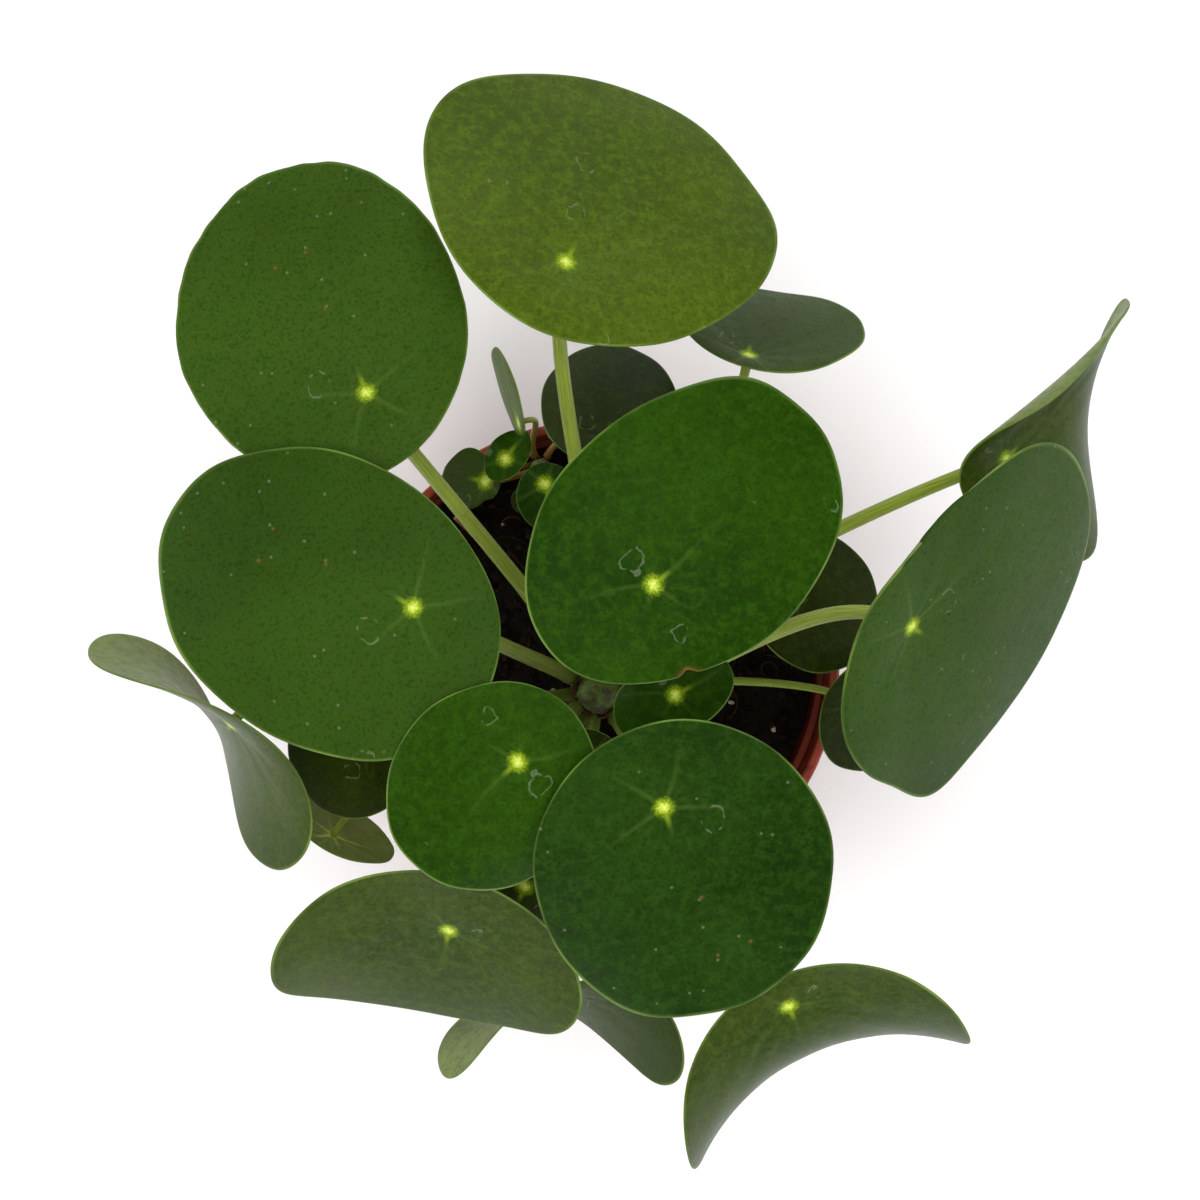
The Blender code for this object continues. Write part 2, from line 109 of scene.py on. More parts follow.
Stem = namedtuple("Stem", "place radius height depth")
MAIN_STEM = Stem(np.array((0.001, -0.006, SOIL_LEVEL)), 0.0058, 0.035, 0.018)
PUP_TURN = math.radians(106)
PUP_OUT = BASE_RADIUS + (RIM_RADIUS - COLLAR_STEP - BASE_RADIUS) * SOIL_LEVEL / POT_HEIGHT - PUP_INSIDE
PUP_STEM = Stem(np.array((PUP_OUT * math.cos(PUP_TURN), PUP_OUT * math.sin(PUP_TURN), SOIL_LEVEL)),
                0.0026, 0.019, 0.012)

Leaf = namedtuple(
    "Leaf", "name tone umbo length width base heading pitch roll tip back left right twist egg aside node "
    "rise swing stem bloom nicks",
    defaults=(0, 10, 5, 8, 8, 0, 0, 0, 0.018, 55, 0, MAIN_STEM, 0.0, ()))

# Bloom is how much of its pale waxy bloom a leaf has kept. Nicks are the dents and points in its edge, each
# (turn, width, amount): degrees, degrees and a share of the radius.
# The darkest tone is a copy of the green darkened with painted shade, for leaves that lie under the upper
# ones.
# The grey tone paints the sheen of light reflected from leaves tilted to the front and left.
LEAVES = (
    Leaf("centre_leaf", "leaf_bright", (0.011, 0.025, 0.133), 0.074, 0.055, 0.025, 40, 5, -4, 14, 6, 12, 12,
         aside=0.0035, node=0.032, rise=80, nicks=((238, 24, -0.07), (240, 2.4, -0.06), (40, 22, 0.03))),
    Leaf("back_leaf", "leaf_olive", (-0.007, 0.093, 0.108), 0.073, 0.079, 0.018, 64, 26, 0, 22, 4, 8, 8,
         egg=0.10, node=0.027, rise=62, swing=-8, nicks=((84, 22, 0.045), (300, 20, 0.02))),
    Leaf("back_left_leaf", "leaf_deep", (-0.050, 0.066, 0.098), 0.077, 0.064, 0.018, 112, 10, 0, 14, 4, 10,
         10, aside=0.004, node=0.024, rise=62, swing=-4, bloom=0.55, nicks=((26, 42, -0.04),)),
    Leaf("left_leaf", "leaf_deep", (-0.039, 0.020, 0.113), 0.081, 0.062, 0.023, 149, 8, 0, 12, 6, 12, 10,
         aside=0.009, node=0.029, rise=68, bloom=0.36),
    Leaf("right_leaf", "leaf_deep", (0.067, 0.016, 0.103), 0.074, 0.085, 0.019, -33, 46, 0, 14, 8, 12, 6,
         aside=0.0105, node=0.027, rise=66, swing=-10, bloom=0.46, nicks=((304, 14, 0.15), (52, 25, 0.06),
         (168, 30, -0.28), (132, 26, -0.15))),
    Leaf("far_right_leaf", "leaf_greyed", (0.0928, 0.0533, 0.0605), 0.071, 0.044, 0.016, 50, 16, -12, 0, 6,
         -150, 8, twist=110, egg=-0.45, aside=-0.0085, node=0.025, rise=70, swing=30),
    Leaf("back_right_small_leaf", "leaf_shaded", (0.034, 0.078, 0.058), 0.043, 0.045, 0.0065, 80, 54, 0, 10,
         6, -10, -10, aside=-0.004, node=0.015, rise=52, bloom=0.45),
    Leaf("back_small_leaf", "leaf_shaded", (0.003, 0.059, 0.058), 0.042, 0.032, 0.009, 96, 40, 0, 10, 5, 10,
         10, node=0.019, rise=60, swing=4),
    Leaf("right_small_leaf", "leaf_shaded", (0.045, 0.021, 0.0385), 0.038, 0.036, 0.012, 8, 28, 12, 10, 6, 10,
         10, node=0.017, rise=50),
    Leaf("right_low_leaf", "leaf_shaded", (0.061, -0.003, 0.038), 0.032, 0.030, 0.010, -34, 36, 0, 10, 6, 10,
         10, node=0.012, rise=46, swing=10),
    Leaf("front_left_young_leaf", "leaf_bright", (-0.017, -0.012, 0.120), 0.049, 0.042, 0.016, -137, 10, 0,
         14, 6, 12, 12, node=0.033, rise=82),
    Leaf("front_leaf", "leaf_deep", (0.013, -0.021, 0.126), 0.067, 0.063, 0.018, -72, 12, 0, 14, 6, 10, 10,
         node=0.031, rise=80),
    Leaf("front_left_leaf", "leaf_greyed", (-0.033, -0.051, 0.088), 0.052, 0.072, 0.018, -102, 42, 0, 16, 6,
         -26, -34, aside=-0.003, node=0.025, rise=62),
    Leaf("front_right_leaf", "leaf_greyed", (0.041, -0.067, 0.093), 0.056, 0.074, 0.009, -66, 30, 0, 90, 6,
         -40, -42, node=0.0247, rise=60),
    Leaf("front_low_leaf", "leaf_shaded", (-0.010, -0.072, 0.042), 0.036, 0.069, 0.010, -81, 72, 0, 8, 6, -55,
         -65, twist=50, node=0.016, rise=42, bloom=0.35),
    Leaf("far_left_leaf", "leaf_greyed", (-0.084, -0.007, 0.068), 0.046, 0.072, 0.010, -128, 72, 0, 8, 6, -22,
         -30, twist=50, aside=-0.002, node=0.022, rise=50, swing=4),
    Leaf("left_low_leaf", "leaf_shaded", (-0.054, -0.012, 0.051), 0.036, 0.034, 0.012, -170, 30, 0, 10, 6, 10,
         10, node=0.012, rise=48),
    Leaf("drooping_leaf", "leaf_olive", (-0.064, -0.035, 0.030), 0.026, 0.030, 0.008, -120, 108, 0, 10, 6, 10,
         10, node=0.009, rise=40),
    Leaf("front_hidden_leaf", "leaf_shaded", (-0.017, -0.044, 0.058), 0.032, 0.032, 0.011, -112, 24, 0, 10, 6,
         10, 10, node=0.019, rise=56),
    Leaf("folded_young_leaf", "leaf_bright", (0.017, 0.0004, 0.072), 0.029, 0.020, 0.015, 28, -6, 0, 6, 4,
         -50, -50, node=0.032, rise=62),
    Leaf("front_young_leaf", "leaf_shaded", (-0.003, -0.014, 0.066), 0.020, 0.018, 0.007, -100, 14, 0, 8, 4,
         8, 8, node=0.034, rise=75),
    Leaf("hidden_young_leaf", "leaf_shaded", (0.0105, -0.0060, 0.020), 0.012, 0.012, 0.005, -14, 8, 0, 8, 4,
         8, 8, node=0.011, rise=45),
)
PUP_LEAVES = (
    Leaf("pup_back_leaf", "leaf_olive", (-0.0045, 0.0095, 0.041), 0.022, 0.018, 0.003, 112, 10, 76, 6, 4, 8,
         8, node=0.016, rise=62, stem=PUP_STEM),
    Leaf("pup_left_leaf", "leaf_bright", (-0.0078, 0.0015, 0.034), 0.014, 0.010, 0.006, 54, 8, 14, 8, 4, -20,
         -20, node=0.015, rise=60, stem=PUP_STEM, nicks=((0, 16, 0.10),)),
    Leaf("pup_lobed_leaf", "leaf_shaded", (-0.0125, -0.0035, 0.028), 0.016, 0.014, 0.004, 170, 22, 0, 8, 4, 8,
         8, node=0.011, rise=46, stem=PUP_STEM, bloom=0.3, nicks=((128, 14, -0.16), (242, 16, -0.13),
         (285, 20, 0.08), (90, 18, 0.06))),
    Leaf("pup_right_leaf", "leaf_deep", (0.0015, -0.0045, 0.036), 0.017, 0.015, 0.005, -76, 8, 0, 8, 4, 8, 8,
         node=0.018, rise=70, stem=PUP_STEM),
    Leaf("pup_low_leaf", "leaf_shaded", (-0.0030, -0.0062, 0.020), 0.007, 0.006, 0.002, -120, 14, 0, 6, 4, 8,
         8, node=0.010, rise=50, stem=PUP_STEM),
    Leaf("pup_tip_leaf", "leaf_olive", (0.004, 0.0075, 0.028), 0.007, 0.006, 0.002, 60, 20, 30, 6, 4, -14,
         -14, node=0.017, rise=60, stem=PUP_STEM),
)
DRY_STALK = Leaf("dry_leaf_stalk", "dry_stalk", (-0.035, 0.042, 0.036), 0.05, 0.05, 0.02, 140, 60,
                 node=0.015, rise=38)


# ---------------------------------------------------------------- surfaces
def shell_faces(rows, columns):
    """Quads between neighbouring rings of a grid that closes on itself, and no ring at either pole."""
    ring = np.arange(rows - 1)[:, None] * columns
    here = np.arange(columns)[None, :]
    after = (here + 1) % columns
    return np.stack([ring + here, ring + columns + here, ring + columns + after, ring + after],
                    axis=-1).reshape(-1, 4)


def closed_shell(grid, **values):
    """A closed skin from rings of points: every ring is joined to the next, and the middle of the first and
    of the last ring becomes a pole. Returns the points, quads, triangles and each value per point."""
    rows, columns = grid.shape[:2]
    points = np.concatenate([grid.reshape(-1, 3), grid[0].mean(0)[None], grid[-1].mean(0)[None]])
    quads = shell_faces(rows, columns)
    here = np.arange(columns)
    after = (here + 1) % columns
    start, end = rows * columns, rows * columns + 1
    last = (rows - 1) * columns
    fans = np.concatenate([np.stack([np.full(columns, start), here, after], 1),
                           np.stack([last + here, np.full(columns, end), last + after], 1)])
    corners = np.concatenate([quads[:, [0, 1, 2]], quads[:, [0, 2, 3]], fans])
    a, b, c = (points[corners[:, i]] for i in range(3))
    if np.einsum("ij,ij->i", a, np.cross(b, c)).sum() < 0:
        quads, fans = quads[:, ::-1], fans[:, ::-1]
    flat = {key: np.concatenate([value.reshape(-1), [value[0].mean(), value[-1].mean()]])
            for key, value in values.items()}
    return points, quads, fans, flat


def add_piece(name, shells, material_of=None):
    """One object from closed shells: their points, quads and fans are laid end to end, and values become
    attributes on the points. A value named along or across also goes into the UV map, in decimetres."""
    points = np.concatenate([shell[0] for shell in shells])
    starts = np.cumsum([0] + [len(shell[0]) for shell in shells])
    quads = np.concatenate([shell[1] + start for shell, start in zip(shells, starts)])
    fans = np.concatenate([shell[2] + start for shell, start in zip(shells, starts)])
    mesh = bpy.data.meshes.new(name)
    mesh.vertices.add(len(points))
    mesh.vertices.foreach_set("co", points.astype(np.float32).ravel())
    corners = np.concatenate([quads.ravel(), fans.ravel()]).astype(np.int32)
    mesh.loops.add(len(corners))
    mesh.loops.foreach_set("vertex_index", corners)
    mesh.polygons.add(len(quads) + len(fans))
    sizes = np.concatenate([np.full(len(quads), 4), np.full(len(fans), 3)])
    firsts = np.concatenate([[0], np.cumsum(sizes)[:-1]])
    mesh.polygons.foreach_set("loop_start", firsts.astype(np.int32))
    mesh.polygons.foreach_set("use_smooth", np.ones(len(sizes), bool))
    if material_of is not None:
        mesh.polygons.foreach_set("material_index", np.concatenate(
            [np.full(len(shell[1]), k) for shell, k in zip(shells, material_of)]
            + [np.full(len(shell[2]), k) for shell, k in zip(shells, material_of)]).astype(np.int32))
    names = sorted({key for shell in shells for key in shell[3]})
    values = {key: np.concatenate([shell[3].get(key, np.zeros(len(shell[0]))) for shell in shells])
              for key in names}
    for key, value in values.items():
        layer = mesh.attributes.new(key, "FLOAT", "POINT")
        layer.data.foreach_set("value", value.astype(np.float32))
    if "along" in values and "across" in values:
        flat = np.stack([values["along"], values["across"]], 1)[corners] * 10 + 0.5
        mesh.uv_layers.new(name="leaf_map").data.foreach_set("uv", flat.astype(np.float32).ravel())
    mesh.update(calc_edges=True)
    thing = bpy.data.objects.new(name, mesh)
    bpy.context.scene.collection.objects.link(thing)
    return thing


def hand_over(piece, materials, node=None):
    """Gives a piece its materials and its place on the body, and hides the solid that it stands for."""
    for material in materials:
        piece.data.materials.append(material)
    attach(piece, "root")
    if node:
        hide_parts(node)


def unit(vectors):
    """Each vector divided by its length."""
    return vectors / np.maximum(np.linalg.norm(vectors, axis=-1, keepdims=True), 1e-12)


def lumps(x, y, size, seed):
    """Smooth random heights, -1 to 1: random numbers on a square lattice of the given size, eased between."""
    cells = 64
    table = np.random.default_rng(seed).uniform(-1, 1, (cells, cells))
    u, v = x / size, y / size
    i, j = np.floor(u).astype(int), np.floor(v).astype(int)
    s, t = u - i, v - j
    s, t = s * s * (3 - 2 * s), t * t * (3 - 2 * t)
    left, right, front, back = i % cells, (i + 1) % cells, j % cells, (j + 1) % cells
    low = table[left, front] * (1 - s) + table[right, front] * s
    high = table[left, back] * (1 - s) + table[right, back] * s
    return low * (1 - t) + high * t


def carried(path, radii, across, sides, ridges=0, ridge=0.0, seed=0):
    """A round profile carried along a path: each ring stands square to the path, with the given radius, which
    a few ridges along the tube raise and lower. Both ends are rounded off and closed."""
    ahead = unit(np.gradient(path, axis=0))
    first = unit(np.cross(ahead, across))
    second = np.cross(ahead, first)
    turn = np.linspace(0, 2 * math.pi, sides, endpoint=False)
    wave = 1 + ridge * np.sin(ridges * turn + seed) + ridge * 0.6 * np.sin((ridges + 2) * turn + 2 * seed)
    reach = np.asarray(radii)[:, None] * wave[None]
    grid = (path[:, None] + reach[..., None] * (first[:, None] * np.cos(turn)[None, :, None]
                                                + second[:, None] * np.sin(turn)[None, :, None]))
    cap = np.array([0.35, 0.75])[:, None, None]
    head = path[0] + (grid[0] - path[0])[None] * cap
    tail = path[-1] + (grid[-1] - path[-1])[None] * cap[::-1]
    grid = np.concatenate([head, grid, tail])
    share = np.concatenate([[0, 0], np.linspace(0, 1, len(path)), [1, 1]])
    return grid, np.repeat(share[:, None], sides, 1), np.repeat(turn[None], len(grid), 0)


# ---------------------------------------------------------------- leaf shape
def leaf_axes(leaf):
    """Tip direction, left direction and upper normal: heading turned about Z, then pitch, then roll."""
    heading, pitch, roll = (math.radians(a) for a in (leaf.heading, leaf.pitch, leaf.roll))
    ahead = np.array((math.cos(heading), math.sin(heading), 0.0))
    left = np.array((-math.sin(heading), math.cos(heading), 0.0))
    up = np.array((0.0, 0.0, 1.0))
    tip = math.cos(pitch) * ahead - math.sin(pitch) * up
    face = math.sin(pitch) * ahead + math.cos(pitch) * up
    side = math.cos(roll) * left - math.sin(roll) * face
    normal = math.sin(roll) * left + math.cos(roll) * face
    return tip, side, normal


def bent(distance, bend):
    """An arc of the given turn per metre: along is sin(angle)/bend, down is (1 - cos(angle))/bend."""
    bend = np.where(np.abs(bend) < 1e-6, 1e-6, bend)
    angle = bend * distance
    return np.sin(angle) / bend, (1 - np.cos(angle)) / bend, angle


def leaf_scale(leaf):
    """Size of a leaf against a full-grown one: its length by the full length, at most 1."""
    return min(1.0, leaf.length / FULL_LENGTH)


def blade_sheet(leaf, share, turn, ripple):
    """Middle surface of a blade. A point starts on a flat egg outline: share times the middle plus half the
    length by cos(turn) along, and half the width by sin(turn) across. It is bent down along one arc towards
    the tip or the back and along another to each side, twisted about the midrib, and sunk at the umbo by the
    square of what is left of the share. Slow ripples, stronger at the edge, lift and lower it."""
    rng = np.random.default_rng(sum(map(ord, leaf.name)))
    phases = rng.uniform(0, 2 * math.pi, 8)
    half = leaf.length / 2
    edge = 1 + 0.006 * np.sin(5 * turn + phases[0]) + 0.004 * np.sin(9 * turn + phases[1])
    if leaf.name == CRIMPED_LEAF:
        edge = edge + 0.0015 * np.sin(24 * turn + phases[2]) + 0.001 * np.sin(37 * turn)
    for at, wide, amount in leaf.nicks:
        apart = np.angle(np.exp(1j * (turn - math.radians(at))))
        edge = edge + amount * np.exp(-(apart / math.radians(wide)) ** 2)
    share_out = share * (1 + (edge - 1) * share ** 3)
    along = share_out * (half - leaf.base + half * np.cos(turn))
    across = share_out * (leaf.aside + leaf.width / 2 * np.sin(turn) * (1 + leaf.egg * np.cos(turn)))
    ahead_bend = np.where(along > 0, math.radians(leaf.tip) / (leaf.length - leaf.base),
                          math.radians(leaf.back) / leaf.base)
    x, drop, slope = bent(np.abs(along), ahead_bend)
    side_bend = np.where(across > 0, math.radians(leaf.left), math.radians(leaf.right)) / (leaf.width / 2)
    y, fall, _ = bent(np.abs(across), side_bend)
    x, y = np.copysign(x, along), np.copysign(y, across)
    slope = slope * np.sign(along)
    size = leaf_scale(leaf)
    hollow = DIMPLE * size * (1 - np.minimum(share, 1)) ** 2
    by = math.radians(leaf.twist) * along / leaf.length
    y, fall = y * np.cos(by) + fall * np.sin(by), fall * np.cos(by) - y * np.sin(by)
    radius = np.hypot(along, across)
    soft = (np.sin(3 * turn + phases[3]) + 0.7 * np.sin(5 * turn + phases[4])) * share ** 3
    folds = np.sin(9 * turn + phases[5] + 0.6 * np.sin(radius * 160)) * share * (1 - share) * 1.3
    swell = np.sin(along * 150 + phases[6]) * np.cos(across * 130 + phases[7]) * share
    lift = ripple * size * (0.55 * soft + 0.28 * folds + 0.35 * swell)
    tip, side, normal = leaf_axes(leaf)
    sheet = np.sin(slope)[..., None] * tip + np.cos(slope)[..., None] * normal
    place = (leaf.stem.place + np.array(leaf.umbo) + x[..., None] * tip + y[..., None] * side
             - drop[..., None] * normal - (fall + hollow - lift)[..., None] * sheet)
    return place, along, across


def blade_shell(leaf, thickness, ripple, rings, turns):
    """A blade's closed skin: the middle surface, moved out along its normal by half the thickness on the
    upper side and in on the under side, with an elliptical rounding along the edge between them."""
    half = thickness * max(THINNEST_BLADE, leaf_scale(leaf)) / 2
    rim = half / (0.5 * min(leaf.length, leaf.width))
    turn = np.linspace(0, 2 * math.pi, turns, endpoint=False)
    shares = (np.arange(1, rings + 1) / rings) ** 1.5 * (1 - rim)
    lean = np.linspace(0, math.pi, 9)[1:-1]
    rounding = 1 - rim + rim * np.sin(lean)
    rows = np.concatenate([shares, rounding, shares[::-1]])
    offset = np.concatenate([np.ones(rings), np.cos(lean), -np.ones(rings)]) * half
    share, around = np.meshgrid(rows, turn, indexing="ij")
    middle, along, across = blade_sheet(leaf, share, around, ripple)
    step = 1e-3
    outer, inner = (blade_sheet(leaf, share + by, around, ripple)[0] for by in (step, -step))
    ahead, behind = (blade_sheet(leaf, share, around + by, ripple)[0] for by in (step, -step))
    normal = unit(np.cross(outer - inner, ahead - behind))
    radius = np.hypot(along, across)
    size = leaf_scale(leaf)
    button = BUTTON_HEIGHT * size * np.exp(-(radius / (BUTTON_WIDTH * size)) ** 2) * (offset[:, None] > 0)
    thinner = 1 - EDGE_THINNING * share ** 2
    points = middle + normal * (offset[:, None] * thinner + button)[..., None]
    upper = np.repeat((offset / half * 0.5 + 0.5)[:, None], turns, 1)
    scorch = np.zeros_like(share)
    for at, wide, amount in leaf.nicks:
        if amount < 0 and wide < NARROW_NICK:
            apart = np.angle(np.exp(1j * (around - math.radians(at))))
            at_edge = np.clip((share - 0.93) / 0.04, 0, 1)
            scorch += np.exp(-(apart / math.radians(wide * 1.4)) ** 2) * at_edge
    bloom = np.full_like(share, leaf.bloom)
    return closed_shell(points, along=along, across=across, share=share, upper=upper, scorch=scorch,
                        bloom=bloom)


def stalk_path(leaf, steps):
    """A cubic curve from the stem to the umbo: it leaves the stem at the rise angle, swung to one side, and
    meets the blade square to its underside."""
    _, _, normal = leaf_axes(leaf)
    stem = leaf.stem
    thick = STALK_RADIUS * max(THINNEST_STALK, min(1.0, (leaf.length / FULL_LENGTH) ** 0.7))
    end = stem.place + np.array(leaf.umbo) - DIMPLE * leaf_scale(leaf) * normal
    direction = math.atan2(*(end - stem.place)[1::-1]) + math.radians(leaf.swing)
    rise = math.radians(leaf.rise)
    level = np.array((math.cos(direction), math.sin(direction), 0.0))
    out = math.cos(rise) * level + math.sin(rise) * np.array((0.0, 0.0, 1.0))
    gap = stem.radius + CLEARANCE + thick * math.sin(rise)
    start = stem.place + np.array((0, 0, leaf.node)) + gap * level
    span = np.linalg.norm(end - start)
    t = np.linspace(0, 1, steps)[:, None]
    path = ((1 - t) ** 3 * start + 3 * t * (1 - t) ** 2 * (start + STALK_SETS_OUT * span * out)
            + 3 * t * t * (1 - t) * (end - STALK_COMES_IN * span * normal) + t ** 3 * end)
    return path, thick, np.cross(level, (0, 0, 1.0)), level


def stalk_shell(leaf, steps, sides):
    """A leaf stalk: a slightly ridged round profile that tapers from its foot and flares under the umbo."""
    path, thick, across, level = stalk_path(leaf, steps)
    t = np.linspace(0, 1, steps)
    radii = thick * (1.12 - 0.24 * t + 0.22 * np.exp(-t / 0.03) + 0.30 * np.exp(-(1 - t) / 0.02))
    path[0] -= level * CLEARANCE * 2
    grid, share, turn = carried(path, radii, across, sides, ridges=5, ridge=0.035, seed=len(leaf.name))
    return closed_shell(grid, stalk=share, around=turn / (2 * math.pi),
                        pup=np.full_like(share, float(leaf.stem is PUP_STEM)))


def fitted(piece, node, plain):
    """Moves a piece by what brings the middle of its plain shells' box to that of the node's box."""
    low, high = (np.array(corner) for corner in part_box(node))
    points = np.zeros(len(piece.data.vertices) * 3, np.float32)
    piece.data.vertices.foreach_get("co", points)
    points = points.reshape(-1, 3)
    whole = np.concatenate([shell[0] for shell in plain])
    points += ((low + high) / 2 - (whole.min(0) + whole.max(0)) / 2).astype(np.float32)
    piece.data.vertices.foreach_set("co", points.ravel())
    piece.data.update()


# ---------------------------------------------------------------- pot, soil and stem shapes
def wall_radius(height):
    """Outside of the tapered wall: it grows in a straight line from the foot to the rim."""
    top = RIM_RADIUS - COLLAR_STEP
    return BASE_RADIUS + (top - BASE_RADIUS) * height / POT_HEIGHT


def corner_arc(centre, radius, start, end, steps=7):
    """Points (radius, height) on an arc about a centre, between two angles in degrees."""
    angle = np.radians(np.linspace(start, end, steps))
    return np.stack([centre[0] + radius * np.cos(angle), centre[1] + radius * np.sin(angle)], 1)


def pot_turns():
    """Angles of the pot's upright lines: each eighth is split by the tangent of equal steps, so that the
    lines meet the rays from the middle of its drain hole."""
    steps = np.tan(np.radians(np.linspace(-45, 45, 17)[:-1])) * math.pi / DRAIN_HOLES
    middles = math.radians(DRAIN_TURN) + np.arange(DRAIN_HOLES) * 2 * math.pi / DRAIN_HOLES
    return (middles[:, None] + steps[None]).ravel()


def spun(profile, turns):
    """A profile of (radius, height) points turned about Z at the given angles."""
    profile = np.asarray(profile, float)
    return np.stack([profile[:, 0, None] * np.cos(turns), profile[:, 0, None] * np.sin(turns),
                     np.repeat(profile[:, 1, None], len(turns), 1)], -1)


def drain_patch(height, hole):
    """Floor round a drain hole: straight rays from the hole's edge to the sides of its part of the ring."""
    rays = 64
    angle = np.radians(np.linspace(-45, 315, rays, endpoint=False))
    stretch = 1 / np.maximum(np.abs(np.cos(angle)), np.abs(np.sin(angle)))
    middle = math.radians(DRAIN_TURN) + hole * 2 * math.pi / DRAIN_HOLES
    side = middle + stretch * np.sin(angle) * math.pi / DRAIN_HOLES
    reach = DRAIN_RING + stretch * np.cos(angle) * DRAIN_BAND
    outer = np.stack([reach * np.cos(side), reach * np.sin(side), np.full(rays, height)], 1)
    way = middle + angle
    inner = np.stack([DRAIN_RING * math.cos(middle) + DRAIN_RADIUS * np.cos(way),
                      DRAIN_RING * math.sin(middle) + DRAIN_RADIUS * np.sin(way), np.full(rays, height)], 1)
    step = np.linspace(0, 1, 4)[:, None, None]
    return inner[None] * (1 - step) + outer[None] * step


def pot_grids(roll):
    """Every skin of the pot as grids of points: the turned wall with its collar and rolled lip, the two
    middle discs of the floor, and at each drain hole both faces of the floor and the hole's own wall."""
    turns = pot_turns()
    collar = POT_HEIGHT - COLLAR_HEIGHT
    inner_top = RIM_RADIUS - LIP_WIDTH
    foot = wall_radius(FOOT_ROUND) - POT_WALL - FOOT_ROUND
    profile = np.concatenate([
        [(DRAIN_RING + DRAIN_BAND, POT_FLOOR)],
        corner_arc((foot, POT_FLOOR + FOOT_ROUND), FOOT_ROUND, -90, -6),
        [(wall_radius(h) - POT_WALL, h) for h in np.linspace(0.010, collar - 0.004, 12)],
        corner_arc((inner_top - CORNER, collar + FILLET), CORNER, -60, 0, 5),
        [(inner_top, h) for h in np.linspace(collar + 0.003, POT_HEIGHT - 2 * roll, 4)],
        corner_arc((inner_top + roll, POT_HEIGHT - roll), roll, 180, 90),
        corner_arc((RIM_RADIUS - roll, POT_HEIGHT - roll), roll, 90, 0),
        [(RIM_RADIUS - COLLAR_DRAFT * s, POT_HEIGHT - roll - (COLLAR_HEIGHT - roll - 0.0010) * s)
         for s in np.linspace(0.06, 1, 10)],
        corner_arc((RIM_RADIUS - COLLAR_DRAFT - CORNER, collar + CORNER), CORNER, 0, -90, 5),
        corner_arc((wall_radius(collar) + FILLET, collar - FILLET), FILLET, 90, 180, 4),
        [(wall_radius(h), h) for h in np.linspace(collar - 0.003, FOOT_ROUND + 0.003, 24)],
        corner_arc((wall_radius(0) - FOOT_ROUND, FOOT_ROUND), FOOT_ROUND, -3, -90),
        [(DRAIN_RING + DRAIN_BAND, 0.0)],
    ])
    grids = [spun(profile, turns)]
    middle = [(r, 0.0) for r in np.linspace(DRAIN_RING - DRAIN_BAND, 0, 5)]
    grids += [spun(middle, turns), spun([(r, POT_FLOOR) for r, _ in middle], turns)]
    for hole in range(DRAIN_HOLES):
        low, high = drain_patch(0.0, hole), drain_patch(POT_FLOOR, hole)
        grids += [low, high, np.stack([low[0], high[0]])]
    return grids


def welded_piece(name, grids):
    """One closed object from grids that close on themselves: equal points are merged, faces turned out."""
    points, faces, start = [], [], 0
    for grid in grids:
        points.append(grid.reshape(-1, 3))
        faces.append(shell_faces(grid.shape[0], grid.shape[1]) + start)
        start += grid.shape[0] * grid.shape[1]
    mesh = bpy.data.meshes.new(name)
    mesh.from_pydata(np.concatenate(points), [], np.concatenate(faces))
    shape = bmesh.new()
    shape.from_mesh(mesh)
    bmesh.ops.remove_doubles(shape, verts=shape.verts, dist=0.00001)
    bmesh.ops.dissolve_degenerate(shape, edges=shape.edges, dist=0.000001)
    bmesh.ops.recalc_face_normals(shape, faces=shape.faces)
    shape.to_mesh(mesh)
    shape.free()
    mesh.polygons.foreach_set("use_smooth", np.ones(len(mesh.polygons), bool))
    mesh.set_sharp_from_angle(angle=math.radians(40))
    thing = bpy.data.objects.new(name, mesh)
    bpy.context.scene.collection.objects.link(thing)
    return thing


def soil_top(x, y, rough):
    """Height of the soil: three low waves, plus random lumps of 7, 3 and 1.2 mm."""
    waves = (0.5 * np.sin(210 * x + 0.6) * np.cos(170 * y) + 0.3 * np.sin(390 * x - 260 * y + 1.1)
             + 0.2 * np.cos(330 * x + 450 * y))
    coarse, middling, fine = (lumps(x, y, size, seed) for size, seed in ((0.007, 1), (0.003, 2), (0.0012, 3)))
    return SOIL_LEVEL + SOIL_BUMP * 0.8 * waves + rough * (0.5 * coarse + 0.35 * middling + 0.2 * fine)


def soil_shell(rough):
    """The soil's closed body: a lumpy disc on top, and the inside of the pot's wall and floor below it."""
    rings, columns = 96, 220
    turns = np.linspace(0, 2 * math.pi, columns, endpoint=False)
    beside = POT_WALL + 2 * CLEARANCE
    radius = np.linspace(0.0004, wall_radius(SOIL_LEVEL) - beside, rings)
    grid = spun(np.stack([radius, np.full(rings, SOIL_LEVEL)], 1), turns)
    grid[..., 2] = soil_top(grid[..., 0], grid[..., 1], rough)
    low = [(wall_radius(POT_FLOOR + FOOT_ROUND) - beside, POT_FLOOR + FOOT_ROUND + CLEARANCE),
           (wall_radius(POT_FLOOR) - beside - FOOT_ROUND, POT_FLOOR + CLEARANCE),
           (0.002, POT_FLOOR + CLEARANCE)]
    grid = np.concatenate([grid, spun(low, turns)])
    tone = 0.5 + 0.5 * lumps(grid[..., 0], grid[..., 1], 0.0025, 9)
    return closed_shell(grid, tone=tone * 0.35)


